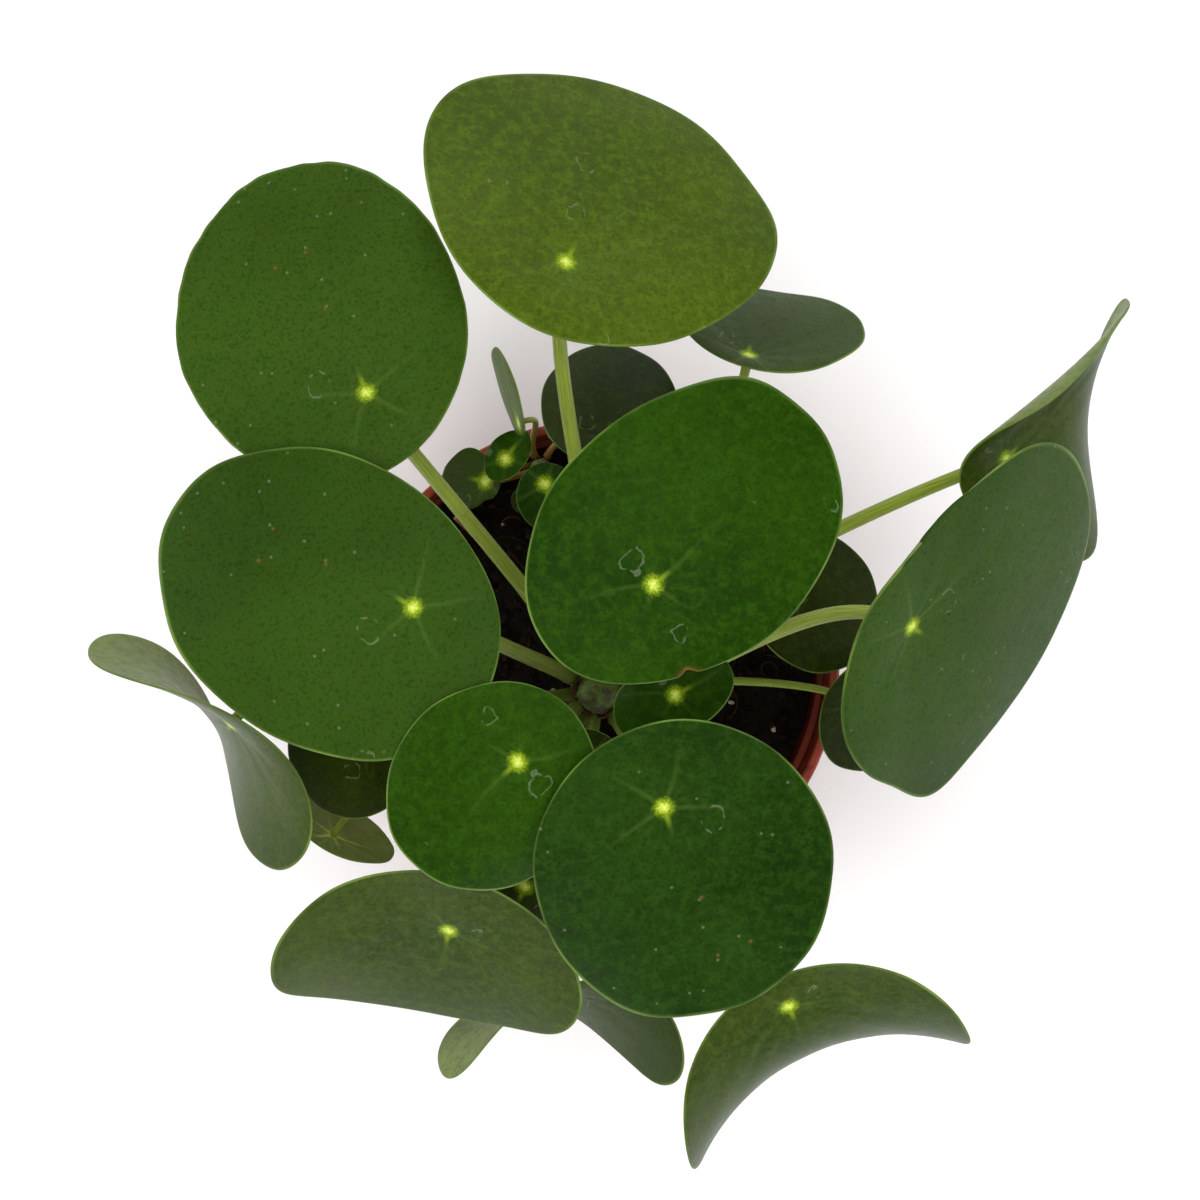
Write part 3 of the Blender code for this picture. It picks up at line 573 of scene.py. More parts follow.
def crumb_shells(count, rough, seed):
    """Loose crumbs: a coarse ball of 4 rings of 7 points, copied with random sizes, turns and dents."""
    rng = np.random.default_rng(seed)
    lat = np.radians(np.array((54, 18, -18, -54)))
    lon = np.radians(np.arange(7) * 360 / 7)
    ball = np.stack([np.cos(lat)[:, None] * np.cos(lon), np.cos(lat)[:, None] * np.sin(lon),
                     np.repeat(np.sin(lat)[:, None], 7, 1)], -1)
    size = rng.gamma(2.2, 0.00028, count) + 0.00025
    flat = rng.uniform(0.45, 1.0, (count, 3))
    spin = np.linalg.qr(rng.normal(size=(count, 3, 3)))[0]
    dents = rng.uniform(0.72, 1.25, (count, 4, 7, 1))
    grid = ball[None] * dents * (size[:, None] * flat)[:, None, None, :]
    grid = np.einsum("nij,nrcj->nrci", spin, grid)
    edge = wall_radius(SOIL_LEVEL) - POT_WALL - 0.0025
    radius = edge * np.sqrt(rng.uniform(0, 1, count))
    turn = rng.uniform(0, 2 * math.pi, count)
    x, y = radius * np.cos(turn), radius * np.sin(turn)
    z = soil_top(x, y, rough) + size * rng.uniform(0.0, 0.5, count)
    grid = grid + np.stack([x, y, z], 1)[:, None, None, :]
    tone = np.where(rng.uniform(0, 1, count) > 0.985, 1.0, rng.uniform(0, 0.75, count) ** 1.6)
    return many_shells(grid, tone=tone)


def many_shells(grid, **values):
    """Like closed_shell for a stack of equal grids: the faces of one are repeated with the points counted on,
    and turned round for each copy whose signed volume about its own middle is negative."""
    count, rows, columns = grid.shape[:3]
    poles = [grid[:, 0].mean(1)[:, None], grid[:, -1].mean(1)[:, None]]
    points = np.concatenate([grid.reshape(count, -1, 3), *poles], 1)
    each = rows * columns + 2
    _, quads, fans, _ = closed_shell(grid[0])
    starts = (np.arange(count) * each)[:, None, None]
    middle = points.mean(1)[:, None]
    a, b, c = (points[:, quads[:, i]] - middle for i in range(3))
    flip = np.einsum("nij,nij->n", a, np.cross(b, c)) < 0
    quads = np.where(flip[:, None, None], quads[None, :, ::-1], quads[None]) + starts
    fans = np.where(flip[:, None, None], fans[None, :, ::-1], fans[None]) + starts
    flat = {key: np.repeat(value, each) for key, value in values.items()}
    return points.reshape(-1, 3), quads.reshape(-1, 4), fans.reshape(-1, 3), flat


def fibre_shells(count, rough, seed):
    """Root and coir fibres: a five-sided profile carried along short curves that lie on the soil."""
    rng = np.random.default_rng(seed)
    edge = wall_radius(SOIL_LEVEL) - POT_WALL - 0.006
    radius, turn = edge * np.sqrt(rng.uniform(0, 1, count)), rng.uniform(0, 2 * math.pi, count)
    heading, length = rng.uniform(0, 2 * math.pi, count), rng.uniform(0.003, 0.012, count)
    curl = rng.normal(0, 1.6, count)
    t = np.linspace(-0.5, 0.5, 8)[None]
    way = heading[:, None] + curl[:, None] * t
    x = radius[:, None] * np.cos(turn)[:, None] + length[:, None] * t * np.cos(way)
    y = radius[:, None] * np.sin(turn)[:, None] + length[:, None] * t * np.sin(way)
    inside = np.minimum(1, edge / np.maximum(np.hypot(x, y), 1e-6))
    x, y = x * inside, y * inside
    z = soil_top(x, y, rough) + 0.0004 + rng.uniform(0, 0.0012, count)[:, None] * (0.25 - t * t) * 4
    thick = rng.uniform(0.00009, 0.00026, count)[:, None] * (1 - 1.4 * np.abs(t) ** 2)
    path = np.stack([x, y, z], -1)
    ahead = unit(np.gradient(path, axis=1))
    side = unit(np.cross(ahead, (0, 0, 1.0)))
    up = np.cross(side, ahead)
    around = np.linspace(0, 2 * math.pi, 5, endpoint=False)[None, None, :, None]
    ring = side[:, :, None] * np.cos(around) + up[:, :, None] * np.sin(around)
    grid = path[:, :, None] + ring * thick[..., None, None]
    return many_shells(grid, tone=rng.uniform(0.35, 0.95, count))


def stem_shell(stem, joints, seed):
    """An upright stem: its radius swells in a ring at each leaf joint and round each leaf scar, and closes in
    a dome at the growing tip."""
    rng = np.random.default_rng(seed)
    top = stem.height - stem.radius
    heights = np.concatenate([np.linspace(-stem.depth, top, 90), top + stem.radius * np.sin(
        np.linspace(0, 0.48 * math.pi, 14)[1:])])
    dome = np.sqrt(np.clip(1 - np.clip((heights - top) / stem.radius, 0, 1) ** 2, 0.004, 1))
    turn = np.linspace(0, 2 * math.pi, 72, endpoint=False)
    z, a = np.meshgrid(heights, turn, indexing="ij")
    swell = np.zeros_like(z)
    scar = np.zeros_like(z)
    for k in range(joints):
        at = top * (k + 0.4) / joints
        face = k * SPIRAL + rng.uniform(-0.3, 0.3)
        swell += 0.07 * np.exp(-((z - at) / (stem.radius * 0.16)) ** 2)
        apart = np.angle(np.exp(1j * (a - face)))
        patch = np.exp(-(apart / 0.42) ** 2 - ((z - at - stem.radius * 0.28) / (stem.radius * 0.24)) ** 2)
        scar = np.maximum(scar, patch)
    grain = 0.012 * np.sin(17 * a + 300 * z) + 0.010 * np.sin(31 * a - 140 * z)
    reach = stem.radius * dome[:, None] * (0.93 + swell + 0.05 * scar + grain)
    grid = np.stack([stem.place[0] + reach * np.cos(a), stem.place[1] + reach * np.sin(a),
                     stem.place[2] + z], -1)
    return closed_shell(grid, scar=scar, height=np.clip(z / stem.height, 0, 1))


def scale_shells(stem, count, seed):
    """Papery scales at the growing tip: narrow pointed blades, hollow inside, in a rising spiral."""
    rng = np.random.default_rng(seed)
    k = np.arange(count)
    turn = k * SPIRAL + rng.uniform(-0.2, 0.2, count)
    foot = stem.height * (0.50 + 0.42 * k / count)
    tall = stem.radius * rng.uniform(0.55, 0.95, count)
    wide = stem.radius * rng.uniform(0.30, 0.46, count)
    v = np.linspace(0.02, 0.98, 8)[None, :, None]
    u = np.linspace(0, 2 * math.pi, 12, endpoint=False)[None, None]
    taper = np.sin(math.pi * v ** 0.55) ** 0.8
    across = wide[:, None, None] * taper * np.cos(u)
    out = (stem.radius * (0.90 + 0.30 * np.sin(v * 2.2)) + 0.00016 * np.sin(u) * taper
           - across ** 2 / stem.radius * 0.5)
    a = turn[:, None, None]
    x = stem.place[0] + out * np.cos(a) - across * np.sin(a)
    y = stem.place[1] + out * np.sin(a) + across * np.cos(a)
    z = stem.place[2] + foot[:, None, None] + tall[:, None, None] * (v - 0.15) + 0 * u
    return many_shells(np.stack([x, y, z], -1), dry=np.ones(count))


# ---------------------------------------------------------------- shader tools
MIX_A, MIX_B, MIX_RESULT = 6, 7, 2     # the colour sockets of a Mix node


def put(tree, kind, inputs=None, **settings):
    """A node with its settings, and its inputs linked to sockets or set to values."""
    made = tree.nodes.new(kind)
    count = len(tree.nodes)
    made.location = (count % 7 * 210, -(count // 7) * 260)
    for key, value in settings.items():
        setattr(made, key, value)
    for key, value in (inputs or {}).items():
        if isinstance(value, bpy.types.NodeSocket):
            tree.links.new(value, made.inputs[key])
        else:
            made.inputs[key].default_value = value
    return made


def maths(tree, operation, a, b=0.0, clamp=False):
    """One sum on two values."""
    return put(tree, "ShaderNodeMath", {0: a, 1: b}, operation=operation, use_clamp=clamp).outputs[0]


def spread(tree, value, low, high, bottom=0.0, top=1.0):
    """A value eased from bottom at low to top at high."""
    ends = {"From Min": low, "From Max": high, "To Min": bottom, "To Max": top}
    return put(tree, "ShaderNodeMapRange", {"Value": value, **ends},
               interpolation_type="SMOOTHSTEP").outputs[0]


def tint(tree, factor, a, b):
    """Two colours mixed by a factor."""
    mix = put(tree, "ShaderNodeMix", {"Factor": factor}, data_type="RGBA")
    for socket, value in ((mix.inputs[MIX_A], a), (mix.inputs[MIX_B], b)):
        if isinstance(value, bpy.types.NodeSocket):
            tree.links.new(value, socket)
        else:
            socket.default_value = (*value, 1.0) if len(value) == 3 else value
    return mix.outputs[MIX_RESULT]


def clouds(tree, place, scale, detail=3.0, rough=0.55):
    """Smooth noise, 0 to 1, with lumps about 1 / scale across."""
    return put(tree, "ShaderNodeTexNoise", {"Vector": place, "Scale": scale, "Detail": detail,
                                            "Roughness": rough}).outputs["Fac"]


def value_of(tree, name):
    """A value that the mesh holds for each point."""
    return put(tree, "ShaderNodeAttribute", attribute_name=name).outputs["Fac"]


def solid_place(tree):
    """Where a point is on the whole object, in metres."""
    return put(tree, "ShaderNodeTexCoord").outputs["Object"]


def drawn_out(tree, place, factor):
    """A place whose height counts by a factor: under 1 draws a pattern out upwards, over 1 flattens it."""
    return put(tree, "ShaderNodeMapping", {"Vector": place, "Scale": (1.0, 1.0, factor)}).outputs[0]


def times(colour, factor):
    """A colour made darker or lighter."""
    return tuple(c * factor for c in colour)


def dress(tree, skin, colour, rough, height, strength, distance):
    """Links a skin's colour, its roughness and its relief: heights, and the distance that they span."""
    tree.links.new(colour, skin.inputs["Base Color"])
    tree.links.new(rough, skin.inputs["Roughness"])
    bump = put(tree, "ShaderNodeBump", {"Height": height, "Strength": strength, "Distance": distance})
    tree.links.new(bump.outputs[0], skin.inputs["Normal"])


def effect(name, inputs, outputs):
    """A new shader group: inputs are (name, kind, value) and outputs are (name, kind). Returns its tree and
    its input and output nodes."""
    tree = bpy.data.node_groups.new(name, "ShaderNodeTree")
    for label, kind, value in inputs:
        socket = tree.interface.new_socket(label, in_out="INPUT", socket_type=kind)
        if value is not None:
            socket.default_value = value
    for label, kind in outputs:
        tree.interface.new_socket(label, in_out="OUTPUT", socket_type=kind)
    return tree, tree.nodes.new("NodeGroupInput"), tree.nodes.new("NodeGroupOutput")


def finish_effect(tree, out, sockets):
    """Links what a shader group puts out."""
    for label, socket in sockets.items():
        tree.links.new(socket, out.inputs[label])


def leaf_place_effect(name):
    """Place on a leaf in metres from the umbo, its distance and its turn, from the leaf's own map."""
    tree, _, out = effect(name, (), (("Place", "NodeSocketVector"), ("Radius", "NodeSocketFloat"),
                                     ("Turn", "NodeSocketFloat")))
    flat = put(tree, "ShaderNodeUVMap", uv_map="leaf_map").outputs[0]
    moved = put(tree, "ShaderNodeVectorMath", {0: flat, 1: (0.5, 0.5, 0.0)}, operation="SUBTRACT").outputs[0]
    place = put(tree, "ShaderNodeVectorMath", {0: moved, "Scale": 0.1}, operation="SCALE").outputs[0]
    parts = put(tree, "ShaderNodeSeparateXYZ", {0: place})
    radius = put(tree, "ShaderNodeVectorMath", {0: place}, operation="LENGTH").outputs["Value"]
    turn = maths(tree, "ARCTAN2", parts.outputs[1], parts.outputs[0])
    finish_effect(tree, out, {"Place": place, "Radius": radius, "Turn": turn})
    return tree


def vein_effect(name):
    """Pale veins that leave the umbo like spokes, wander a little, fork once and fade towards the edge."""
    tree, given, out = effect(
        name,
        (("Place", "NodeSocketVector", None), ("Radius", "NodeSocketFloat", 0.0),
         ("Turn", "NodeSocketFloat", 0.0), ("Seed", "NodeSocketFloat", 0.0),
         ("Reach", "NodeSocketFloat", 0.03)),
        (("Veins", "NodeSocketFloat"), ("Network", "NodeSocketFloat")))
    place, radius, turn = (given.outputs[k] for k in ("Place", "Radius", "Turn"))
    moved = put(tree, "ShaderNodeVectorMath", {0: place}, operation="ADD")
    tree.links.new(put(tree, "ShaderNodeCombineXYZ", {2: given.outputs["Seed"]}).outputs[0], moved.inputs[1])
    wander = maths(tree, "SUBTRACT", clouds(tree, moved.outputs[0], 38, 1), 0.5)
    wander = maths(tree, "MULTIPLY", wander, 0.6)
    lines = None
    for spokes, wide, strength in ((2.5, 0.0009, 1.0), (7.5, 0.0006, 0.20)):
        angle = maths(tree, "MULTIPLY", maths(tree, "ADD", turn, wander), spokes)
        off = maths(tree, "ABSOLUTE", maths(tree, "SINE", angle))
        apart = maths(tree, "MULTIPLY", off, maths(tree, "DIVIDE", radius, spokes))
        line = maths(tree, "MULTIPLY", spread(tree, apart, wide, 0.0), strength)
        lines = line if lines is None else maths(tree, "MAXIMUM", lines, line)
    spoke = put(tree, "ShaderNodeCombineXYZ", {0: maths(tree, "COSINE", turn), 1: maths(tree, "SINE", turn),
                                               2: given.outputs["Seed"]}).outputs[0]
    reach = maths(tree, "MULTIPLY", given.outputs["Reach"],
                  spread(tree, clouds(tree, spoke, 1.9, 0), 0.40, 0.64, 0.35, 1.0))
    fade = maths(tree, "SUBTRACT", 1.0, maths(tree, "DIVIDE", radius, reach), clamp=True)
    veins = maths(tree, "MULTIPLY", lines, fade)
    cells = put(tree, "ShaderNodeTexVoronoi", {"Vector": moved.outputs[0], "Scale": 190.0},
                feature="DISTANCE_TO_EDGE").outputs["Distance"]
    finish_effect(tree, out, {"Veins": veins, "Network": spread(tree, cells, 0.09, 0.0)})
    return tree


def marks_effect(name):
    """Marks on a leaf: dried water rings, brown pin-pricks, and pale specks that paint small glints of light.
    """
    tree, given, out = effect(
        name, (("Place", "NodeSocketVector", None), ("Seed", "NodeSocketFloat", 0.0),
               ("Share of Rings", "NodeSocketFloat", 0.2)),
        (("Rings", "NodeSocketFloat"), ("Specks", "NodeSocketFloat"), ("Pricks", "NodeSocketFloat")))
    moved = put(tree, "ShaderNodeVectorMath", {0: given.outputs["Place"]}, operation="ADD")
    seed = given.outputs["Seed"]
    tree.links.new(put(tree, "ShaderNodeCombineXYZ", {0: seed, 2: seed}).outputs[0], moved.inputs[1])
    wobble = put(tree, "ShaderNodeTexNoise", {"Vector": moved.outputs[0], "Scale": 210.0, "Detail": 3.0})
    shift = put(tree, "ShaderNodeVectorMath", {0: wobble.outputs["Color"], "Scale": 0.0048},
                operation="SCALE").outputs[0]
    place = put(tree, "ShaderNodeVectorMath", {0: moved.outputs[0], 1: shift}, operation="ADD").outputs[0]
    cell = put(tree, "ShaderNodeTexVoronoi", {"Vector": place, "Scale": 75.0, "Randomness": 0.9})
    pick = put(tree, "ShaderNodeSeparateColor", {0: cell.outputs["Color"]})
    wanted = maths(tree, "GREATER_THAN", given.outputs["Share of Rings"], pick.outputs[0])
    size = maths(tree, "ADD", maths(tree, "MULTIPLY", pick.outputs[1], 0.14), 0.09)
    off = maths(tree, "ABSOLUTE", maths(tree, "SUBTRACT", cell.outputs["Distance"], size))
    breaks = spread(tree, clouds(tree, moved.outputs[0], 420, 1), 0.44, 0.58, 0.0, 1.0)
    rings = maths(tree, "MULTIPLY", maths(tree, "MULTIPLY", spread(tree, off, 0.022, 0.004), wanted), breaks)
    dots = {}
    # The pale specks paint small glints of light; the pricks are brown pin-pricks.
    for label, scale, share, wide in (("Specks", 330.0, 0.07, 0.16), ("Pricks", 170.0, 0.035, 0.10)):
        grain = put(tree, "ShaderNodeTexVoronoi", {"Vector": moved.outputs[0], "Scale": scale})
        chance = put(tree, "ShaderNodeSeparateColor", {0: grain.outputs["Color"]}).outputs[2]
        dots[label] = maths(tree, "MULTIPLY", maths(tree, "LESS_THAN", chance, share),
                            spread(tree, grain.outputs["Distance"], wide, wide * 0.3))
    finish_effect(tree, out, {"Rings": rings, **dots})
    return tree


def placed(tree, name, build, inputs=None):
    """A shader group placed in a material; the group is built when it is first wanted."""
    group = bpy.data.node_groups.get(name) or build(name)
    return put(tree, "ShaderNodeGroup", inputs, node_tree=group)


def look(name):
    """A material that is already made."""
    return bpy.data.materials["look_" + name]


def new_material(name):
    """A new material, its tree and its skin shader."""
    material = bpy.data.materials.new("look_" + name)
    material.use_nodes = True
    return material, material.node_tree, material.node_tree.nodes["Principled BSDF"]


def leaf_material(name, deep, light, seed, rings, shine):
    """A leaf skin: mottled green with pale veins, a glowing umbo, a light edge line, dried water rings and
    pale specks that paint small glints of light on its upper side, and a pale yellow-green under side."""
    material, tree, skin = new_material(name)
    colours = bpy.context.scene.pilea_colours
    place = placed(tree, "Leaf Place", leaf_place_effect)
    where, radius, turn = (place.outputs[k] for k in ("Place", "Radius", "Turn"))
    veins = placed(tree, "Radiating Veins", vein_effect,
                   {"Place": where, "Radius": radius, "Turn": turn, "Seed": seed, "Reach": 0.017})
    marks = placed(tree, "Leaf Marks", marks_effect,
                   {"Place": where, "Seed": seed + 0.37, "Share of Rings": rings})
    share = value_of(tree, "share")
    upper = spread(tree, value_of(tree, "upper"), 0.35, 0.65)
    solid = solid_place(tree)
    broad = clouds(tree, solid, 22, 3, 0.6)
    fine = clouds(tree, solid, 420, 4, 0.7)
    cells = clouds(tree, solid, 1300, 2, 0.5)
    colour = tint(tree, spread(tree, broad, 0.30, 0.72), deep, light)
    waxy = maths(tree, "MULTIPLY", value_of(tree, "bloom"), spread(tree, broad, 0.1, 0.6, 0.6, 1.0))
    colour = tint(tree, waxy, colour, colours.bloom)
    colour = tint(tree, spread(tree, fine, 0.42, 0.66, 0.0, 0.50), colour, times(light, 1.5))
    colour = tint(tree, spread(tree, cells, 0.50, 0.66, 0.0, 0.34), colour, times(deep, 0.45))
    colour = tint(tree, maths(tree, "MULTIPLY", veins.outputs["Network"], 0.10), colour, times(light, 1.9))
    colour = tint(tree, maths(tree, "MULTIPLY", veins.outputs["Veins"], 0.17), colour, colours.vein)
    edge = maths(tree, "MULTIPLY", spread(tree, share, 0.976, 0.994),
                 spread(tree, clouds(tree, where, 45, 2), 0.35, 0.65, 0.15, 0.75))
    colour = tint(tree, edge, colour, colours.margin)
    # The umbo is a round spot with a frayed edge, and a faint streak that runs from it along the midrib.
    fray = 0.0014
    frayed = maths(tree, "ADD", maths(tree, "MULTIPLY", clouds(tree, where, 900, 2), fray),
                   maths(tree, "MULTIPLY", clouds(tree, where, 1700, 2), fray))
    parts = put(tree, "ShaderNodeSeparateXYZ", {0: where})
    ahead, beside = parts.outputs[0], maths(tree, "ABSOLUTE", parts.outputs[1])
    streak = maths(tree, "MULTIPLY", spread(tree, beside, 0.0009, 0.0001),
                   spread(tree, ahead, 0.0052, 0.0012))
    streak = maths(tree, "MULTIPLY", streak, spread(tree, ahead, -0.0004, 0.0006, 0.0, 0.5))
    spot = maths(tree, "MAXIMUM", streak, spread(tree, maths(tree, "ADD", radius, frayed), 0.0043, 0.0016))
    colour = tint(tree, spot, colour, colours.umbo)
    core = spread(tree, maths(tree, "ADD", radius, frayed), 0.0030, 0.0014)
    colour = tint(tree, maths(tree, "MULTIPLY", core, 0.85), colour, colours.core)
    below = tint(tree, spread(tree, broad, 0.3, 0.7), colours.underside, times(colours.underside, 0.72))
    below = tint(tree, maths(tree, "MULTIPLY", veins.outputs["Veins"], 0.7), below, colours.core)
    below = tint(tree, spread(tree, fine, 0.4, 0.7, 0.0, 0.35), below, light)
    brown = maths(tree, "MAXIMUM", maths(tree, "MULTIPLY", marks.outputs["Pricks"], 0.75),
                  value_of(tree, "scorch"))
    colour = tint(tree, brown, colour, colours.blemish)
    # Dried water rings, and pale specks that paint small glints of light, both on the upper side only.
    dust_and_glints = maths(tree, "MAXIMUM", marks.outputs["Rings"], marks.outputs["Specks"])
    dust_and_glints = maths(tree, "MULTIPLY", dust_and_glints, 0.15)
    colour = tint(tree, upper, below, tint(tree, dust_and_glints, colour, colours.dust_and_glints))
    dull = maths(tree, "ADD", spread(tree, fine, 0.2, 0.8, shine - 0.06, shine + 0.08),
                 maths(tree, "MULTIPLY", dust_and_glints, 0.5))
    raised = maths(tree, "ADD", maths(tree, "MULTIPLY", fine, 0.5), maths(tree, "MULTIPLY", cells, 0.25))
    raised = maths(tree, "SUBTRACT", raised, maths(tree, "MULTIPLY", veins.outputs["Veins"], 0.6))
    dress(tree, skin, colour, dull, raised, 0.22, 0.0005)
    skin.inputs["Specular IOR Level"].default_value = 0.09
    return material


def stalk_material():
    """A fleshy stalk: yellow-green with darker strings along it, browner towards its foot."""
    material, tree, skin = new_material("leaf_stalk")
    colours = bpy.context.scene.pilea_colours
    solid = solid_place(tree)
    along, around = value_of(tree, "stalk"), value_of(tree, "around")
    stretched = put(tree, "ShaderNodeCombineXYZ", {0: maths(tree, "MULTIPLY", along, 6.0),
                                                   1: maths(tree, "MULTIPLY", around, 26.0)}).outputs[0]
    strings = clouds(tree, stretched, 1.6, 3, 0.6)
    colour = tint(tree, spread(tree, strings, 0.35, 0.7), colours.stalk, times(colours.stalk, 0.55))
    foot = maths(tree, "MULTIPLY", spread(tree, along, 0.35, 0.0), 0.55)
    colour = tint(tree, foot, colour, colours.stalk_foot)
    young = maths(tree, "MULTIPLY", value_of(tree, "pup"), spread(tree, along, 1.0, 0.2, 0.15, 0.8))
    colour = tint(tree, young, colour, colours.young_stalk)
    colour = tint(tree, spread(tree, clouds(tree, solid, 900, 3), 0.58, 0.72, 0.0, 0.35), colour,
                  colours.blemish)
    rough = spread(tree, strings, 0.2, 0.8, 0.40, 0.58)
    dress(tree, skin, colour, rough, strings, 0.35, 0.0004)
    return material


def stem_material():
    """Woody green stem skin with grey-brown corky patches and pale leaf scars; its scales are dry brown."""
    material, tree, skin = new_material("stem_bark")
    colours = bpy.context.scene.pilea_colours
    solid = solid_place(tree)
    stretched = drawn_out(tree, solid, 0.35)
    bark, fine = clouds(tree, stretched, 330, 4, 0.65), clouds(tree, solid, 1500, 3, 0.6)
    low = spread(tree, value_of(tree, "height"), 0.95, 0.25)
    colour = tint(tree, spread(tree, bark, 0.40, 0.62), colours.stem, colours.cork)
    colour = tint(tree, maths(tree, "MULTIPLY", low, 0.6), colour, colours.cork)
    colour = tint(tree, maths(tree, "MULTIPLY", value_of(tree, "scar"), 0.7), colour, colours.scar)
    colour = tint(tree, value_of(tree, "dry"), colour, tint(tree, fine, colours.scale, colours.cork))
    colour = tint(tree, spread(tree, fine, 0.5, 0.75, 0.0, 0.5), colour, times(colours.cork, 0.3))
    rough = spread(tree, bark, 0.2, 0.8, 0.5, 0.8)
    height = maths(tree, "ADD", bark, maths(tree, "MULTIPLY", fine, 0.4))
    dress(tree, skin, colour, rough, height, 0.6, 0.0006)
    return material


def dry_material():
    """Dried stalk: orange-brown, wrinkled along its length, darker towards its foot."""
    material, tree, skin = new_material("dried_stalk")
    colours = bpy.context.scene.pilea_colours
    along, around = value_of(tree, "stalk"), value_of(tree, "around")
    stretched = put(tree, "ShaderNodeCombineXYZ", {0: maths(tree, "MULTIPLY", along, 9.0),
                                                   1: maths(tree, "MULTIPLY", around, 22.0)}).outputs[0]
    wrinkles = clouds(tree, stretched, 2.0, 4, 0.65)
    colour = tint(tree, spread(tree, wrinkles, 0.35, 0.65), colours.dry, times(colours.dry, 0.35))
    colour = tint(tree, spread(tree, along, 0.55, 0.05, 0.0, 0.75), colour, colours.cork)
    rough = spread(tree, wrinkles, 0.2, 0.8, 0.6, 0.85)
    dress(tree, skin, colour, rough, wrinkles, 0.8, 0.0006)
    return material


def soil_material():
    """Peat: near-black crumbs, reddish-brown bark and fibre, and a few pale grains, by each one's tone."""
    material, tree, skin = new_material("peat")
    colours = bpy.context.scene.pilea_colours
    solid = solid_place(tree)
    tone = value_of(tree, "tone")
    grain, fine = clouds(tree, solid, 520, 5, 0.7), clouds(tree, solid, 2600, 3, 0.6)
    colour = tint(tree, spread(tree, grain, 0.35, 0.75), colours.peat, colours.bark)
    colour = tint(tree, spread(tree, tone, 0.35, 0.9), colour, colours.fibre)
    colour = tint(tree, spread(tree, tone, 0.96, 0.99), colour, colours.grit)
    colour = tint(tree, spread(tree, fine, 0.45, 0.7, 0.0, 0.5), colour, times(colours.peat, 0.4))
    rough = spread(tree, grain, 0.2, 0.8, 0.75, 1.0)
    height = maths(tree, "ADD", grain, maths(tree, "MULTIPLY", fine, 0.5))
    dress(tree, skin, colour, rough, height, 0.9, 0.0008)
    skin.inputs["Specular IOR Level"].default_value = 0.25
    return material


def pot_material():
    """Moulded plastic: brick red with faint flow marks, soft scuffs, pale scratches and soil dust."""
    material, tree, skin = new_material("pot_plastic")
    colours = bpy.context.scene.pilea_colours
    solid = solid_place(tree)
    height = put(tree, "ShaderNodeSeparateXYZ", {0: solid}).outputs[2]
    flow = clouds(tree, drawn_out(tree, solid, 0.18), 38, 4, 0.6)
    scuffs = clouds(tree, drawn_out(tree, solid, 14.0), 46, 5, 0.75)
    fine = clouds(tree, solid, 1400, 3, 0.6)
    colour = tint(tree, spread(tree, flow, 0.3, 0.7), colours.pot, times(colours.pot, 0.78))
    scratch = spread(tree, scuffs, 0.62, 0.72, 0.0, 0.35)
    colour = tint(tree, scratch, colour, tuple(min(1, c * 1.5 + 0.05) for c in colours.pot))
    dirt = maths(tree, "MULTIPLY", spread(tree, clouds(tree, solid, 110, 5, 0.7), 0.52, 0.70),
                 maths(tree, "MAXIMUM", spread(tree, height, 0.012, 0.0),
                       spread(tree, height, 0.088, 0.100, 0.12, 0.5)))
    colour = tint(tree, dirt, colour, colours.bark)
    rough = maths(tree, "ADD", spread(tree, flow, 0.2, 0.8, 0.36, 0.48), maths(tree, "MULTIPLY", dirt, 0.35))
    bumps = maths(tree, "ADD", maths(tree, "MULTIPLY", fine, 0.3), maths(tree, "MULTIPLY", scuffs, 0.25))
    dress(tree, skin, colour, rough, bumps, 0.18, 0.0004)
    return material


def floor_material():
    """A matt white sheet with a trace of tone."""
    material, tree, skin = new_material("white_sheet")
    solid = solid_place(tree)
    colour = tint(tree, clouds(tree, solid, 3.0, 2), (0.95, 0.95, 0.95), (0.97, 0.97, 0.97))
    tree.links.new(colour, skin.inputs["Base Color"])
    skin.inputs["Roughness"].default_value = 0.9
    skin.inputs["Specular IOR Level"].default_value = 0.1
    return material


# ---------------------------------------------------------------- what a user can change
def colour_property(name, value, about):
    """A colour that a user can change."""
    return FloatVectorProperty(name=name, description=about, default=value, subtype="COLOR", min=0.0, max=1.0)


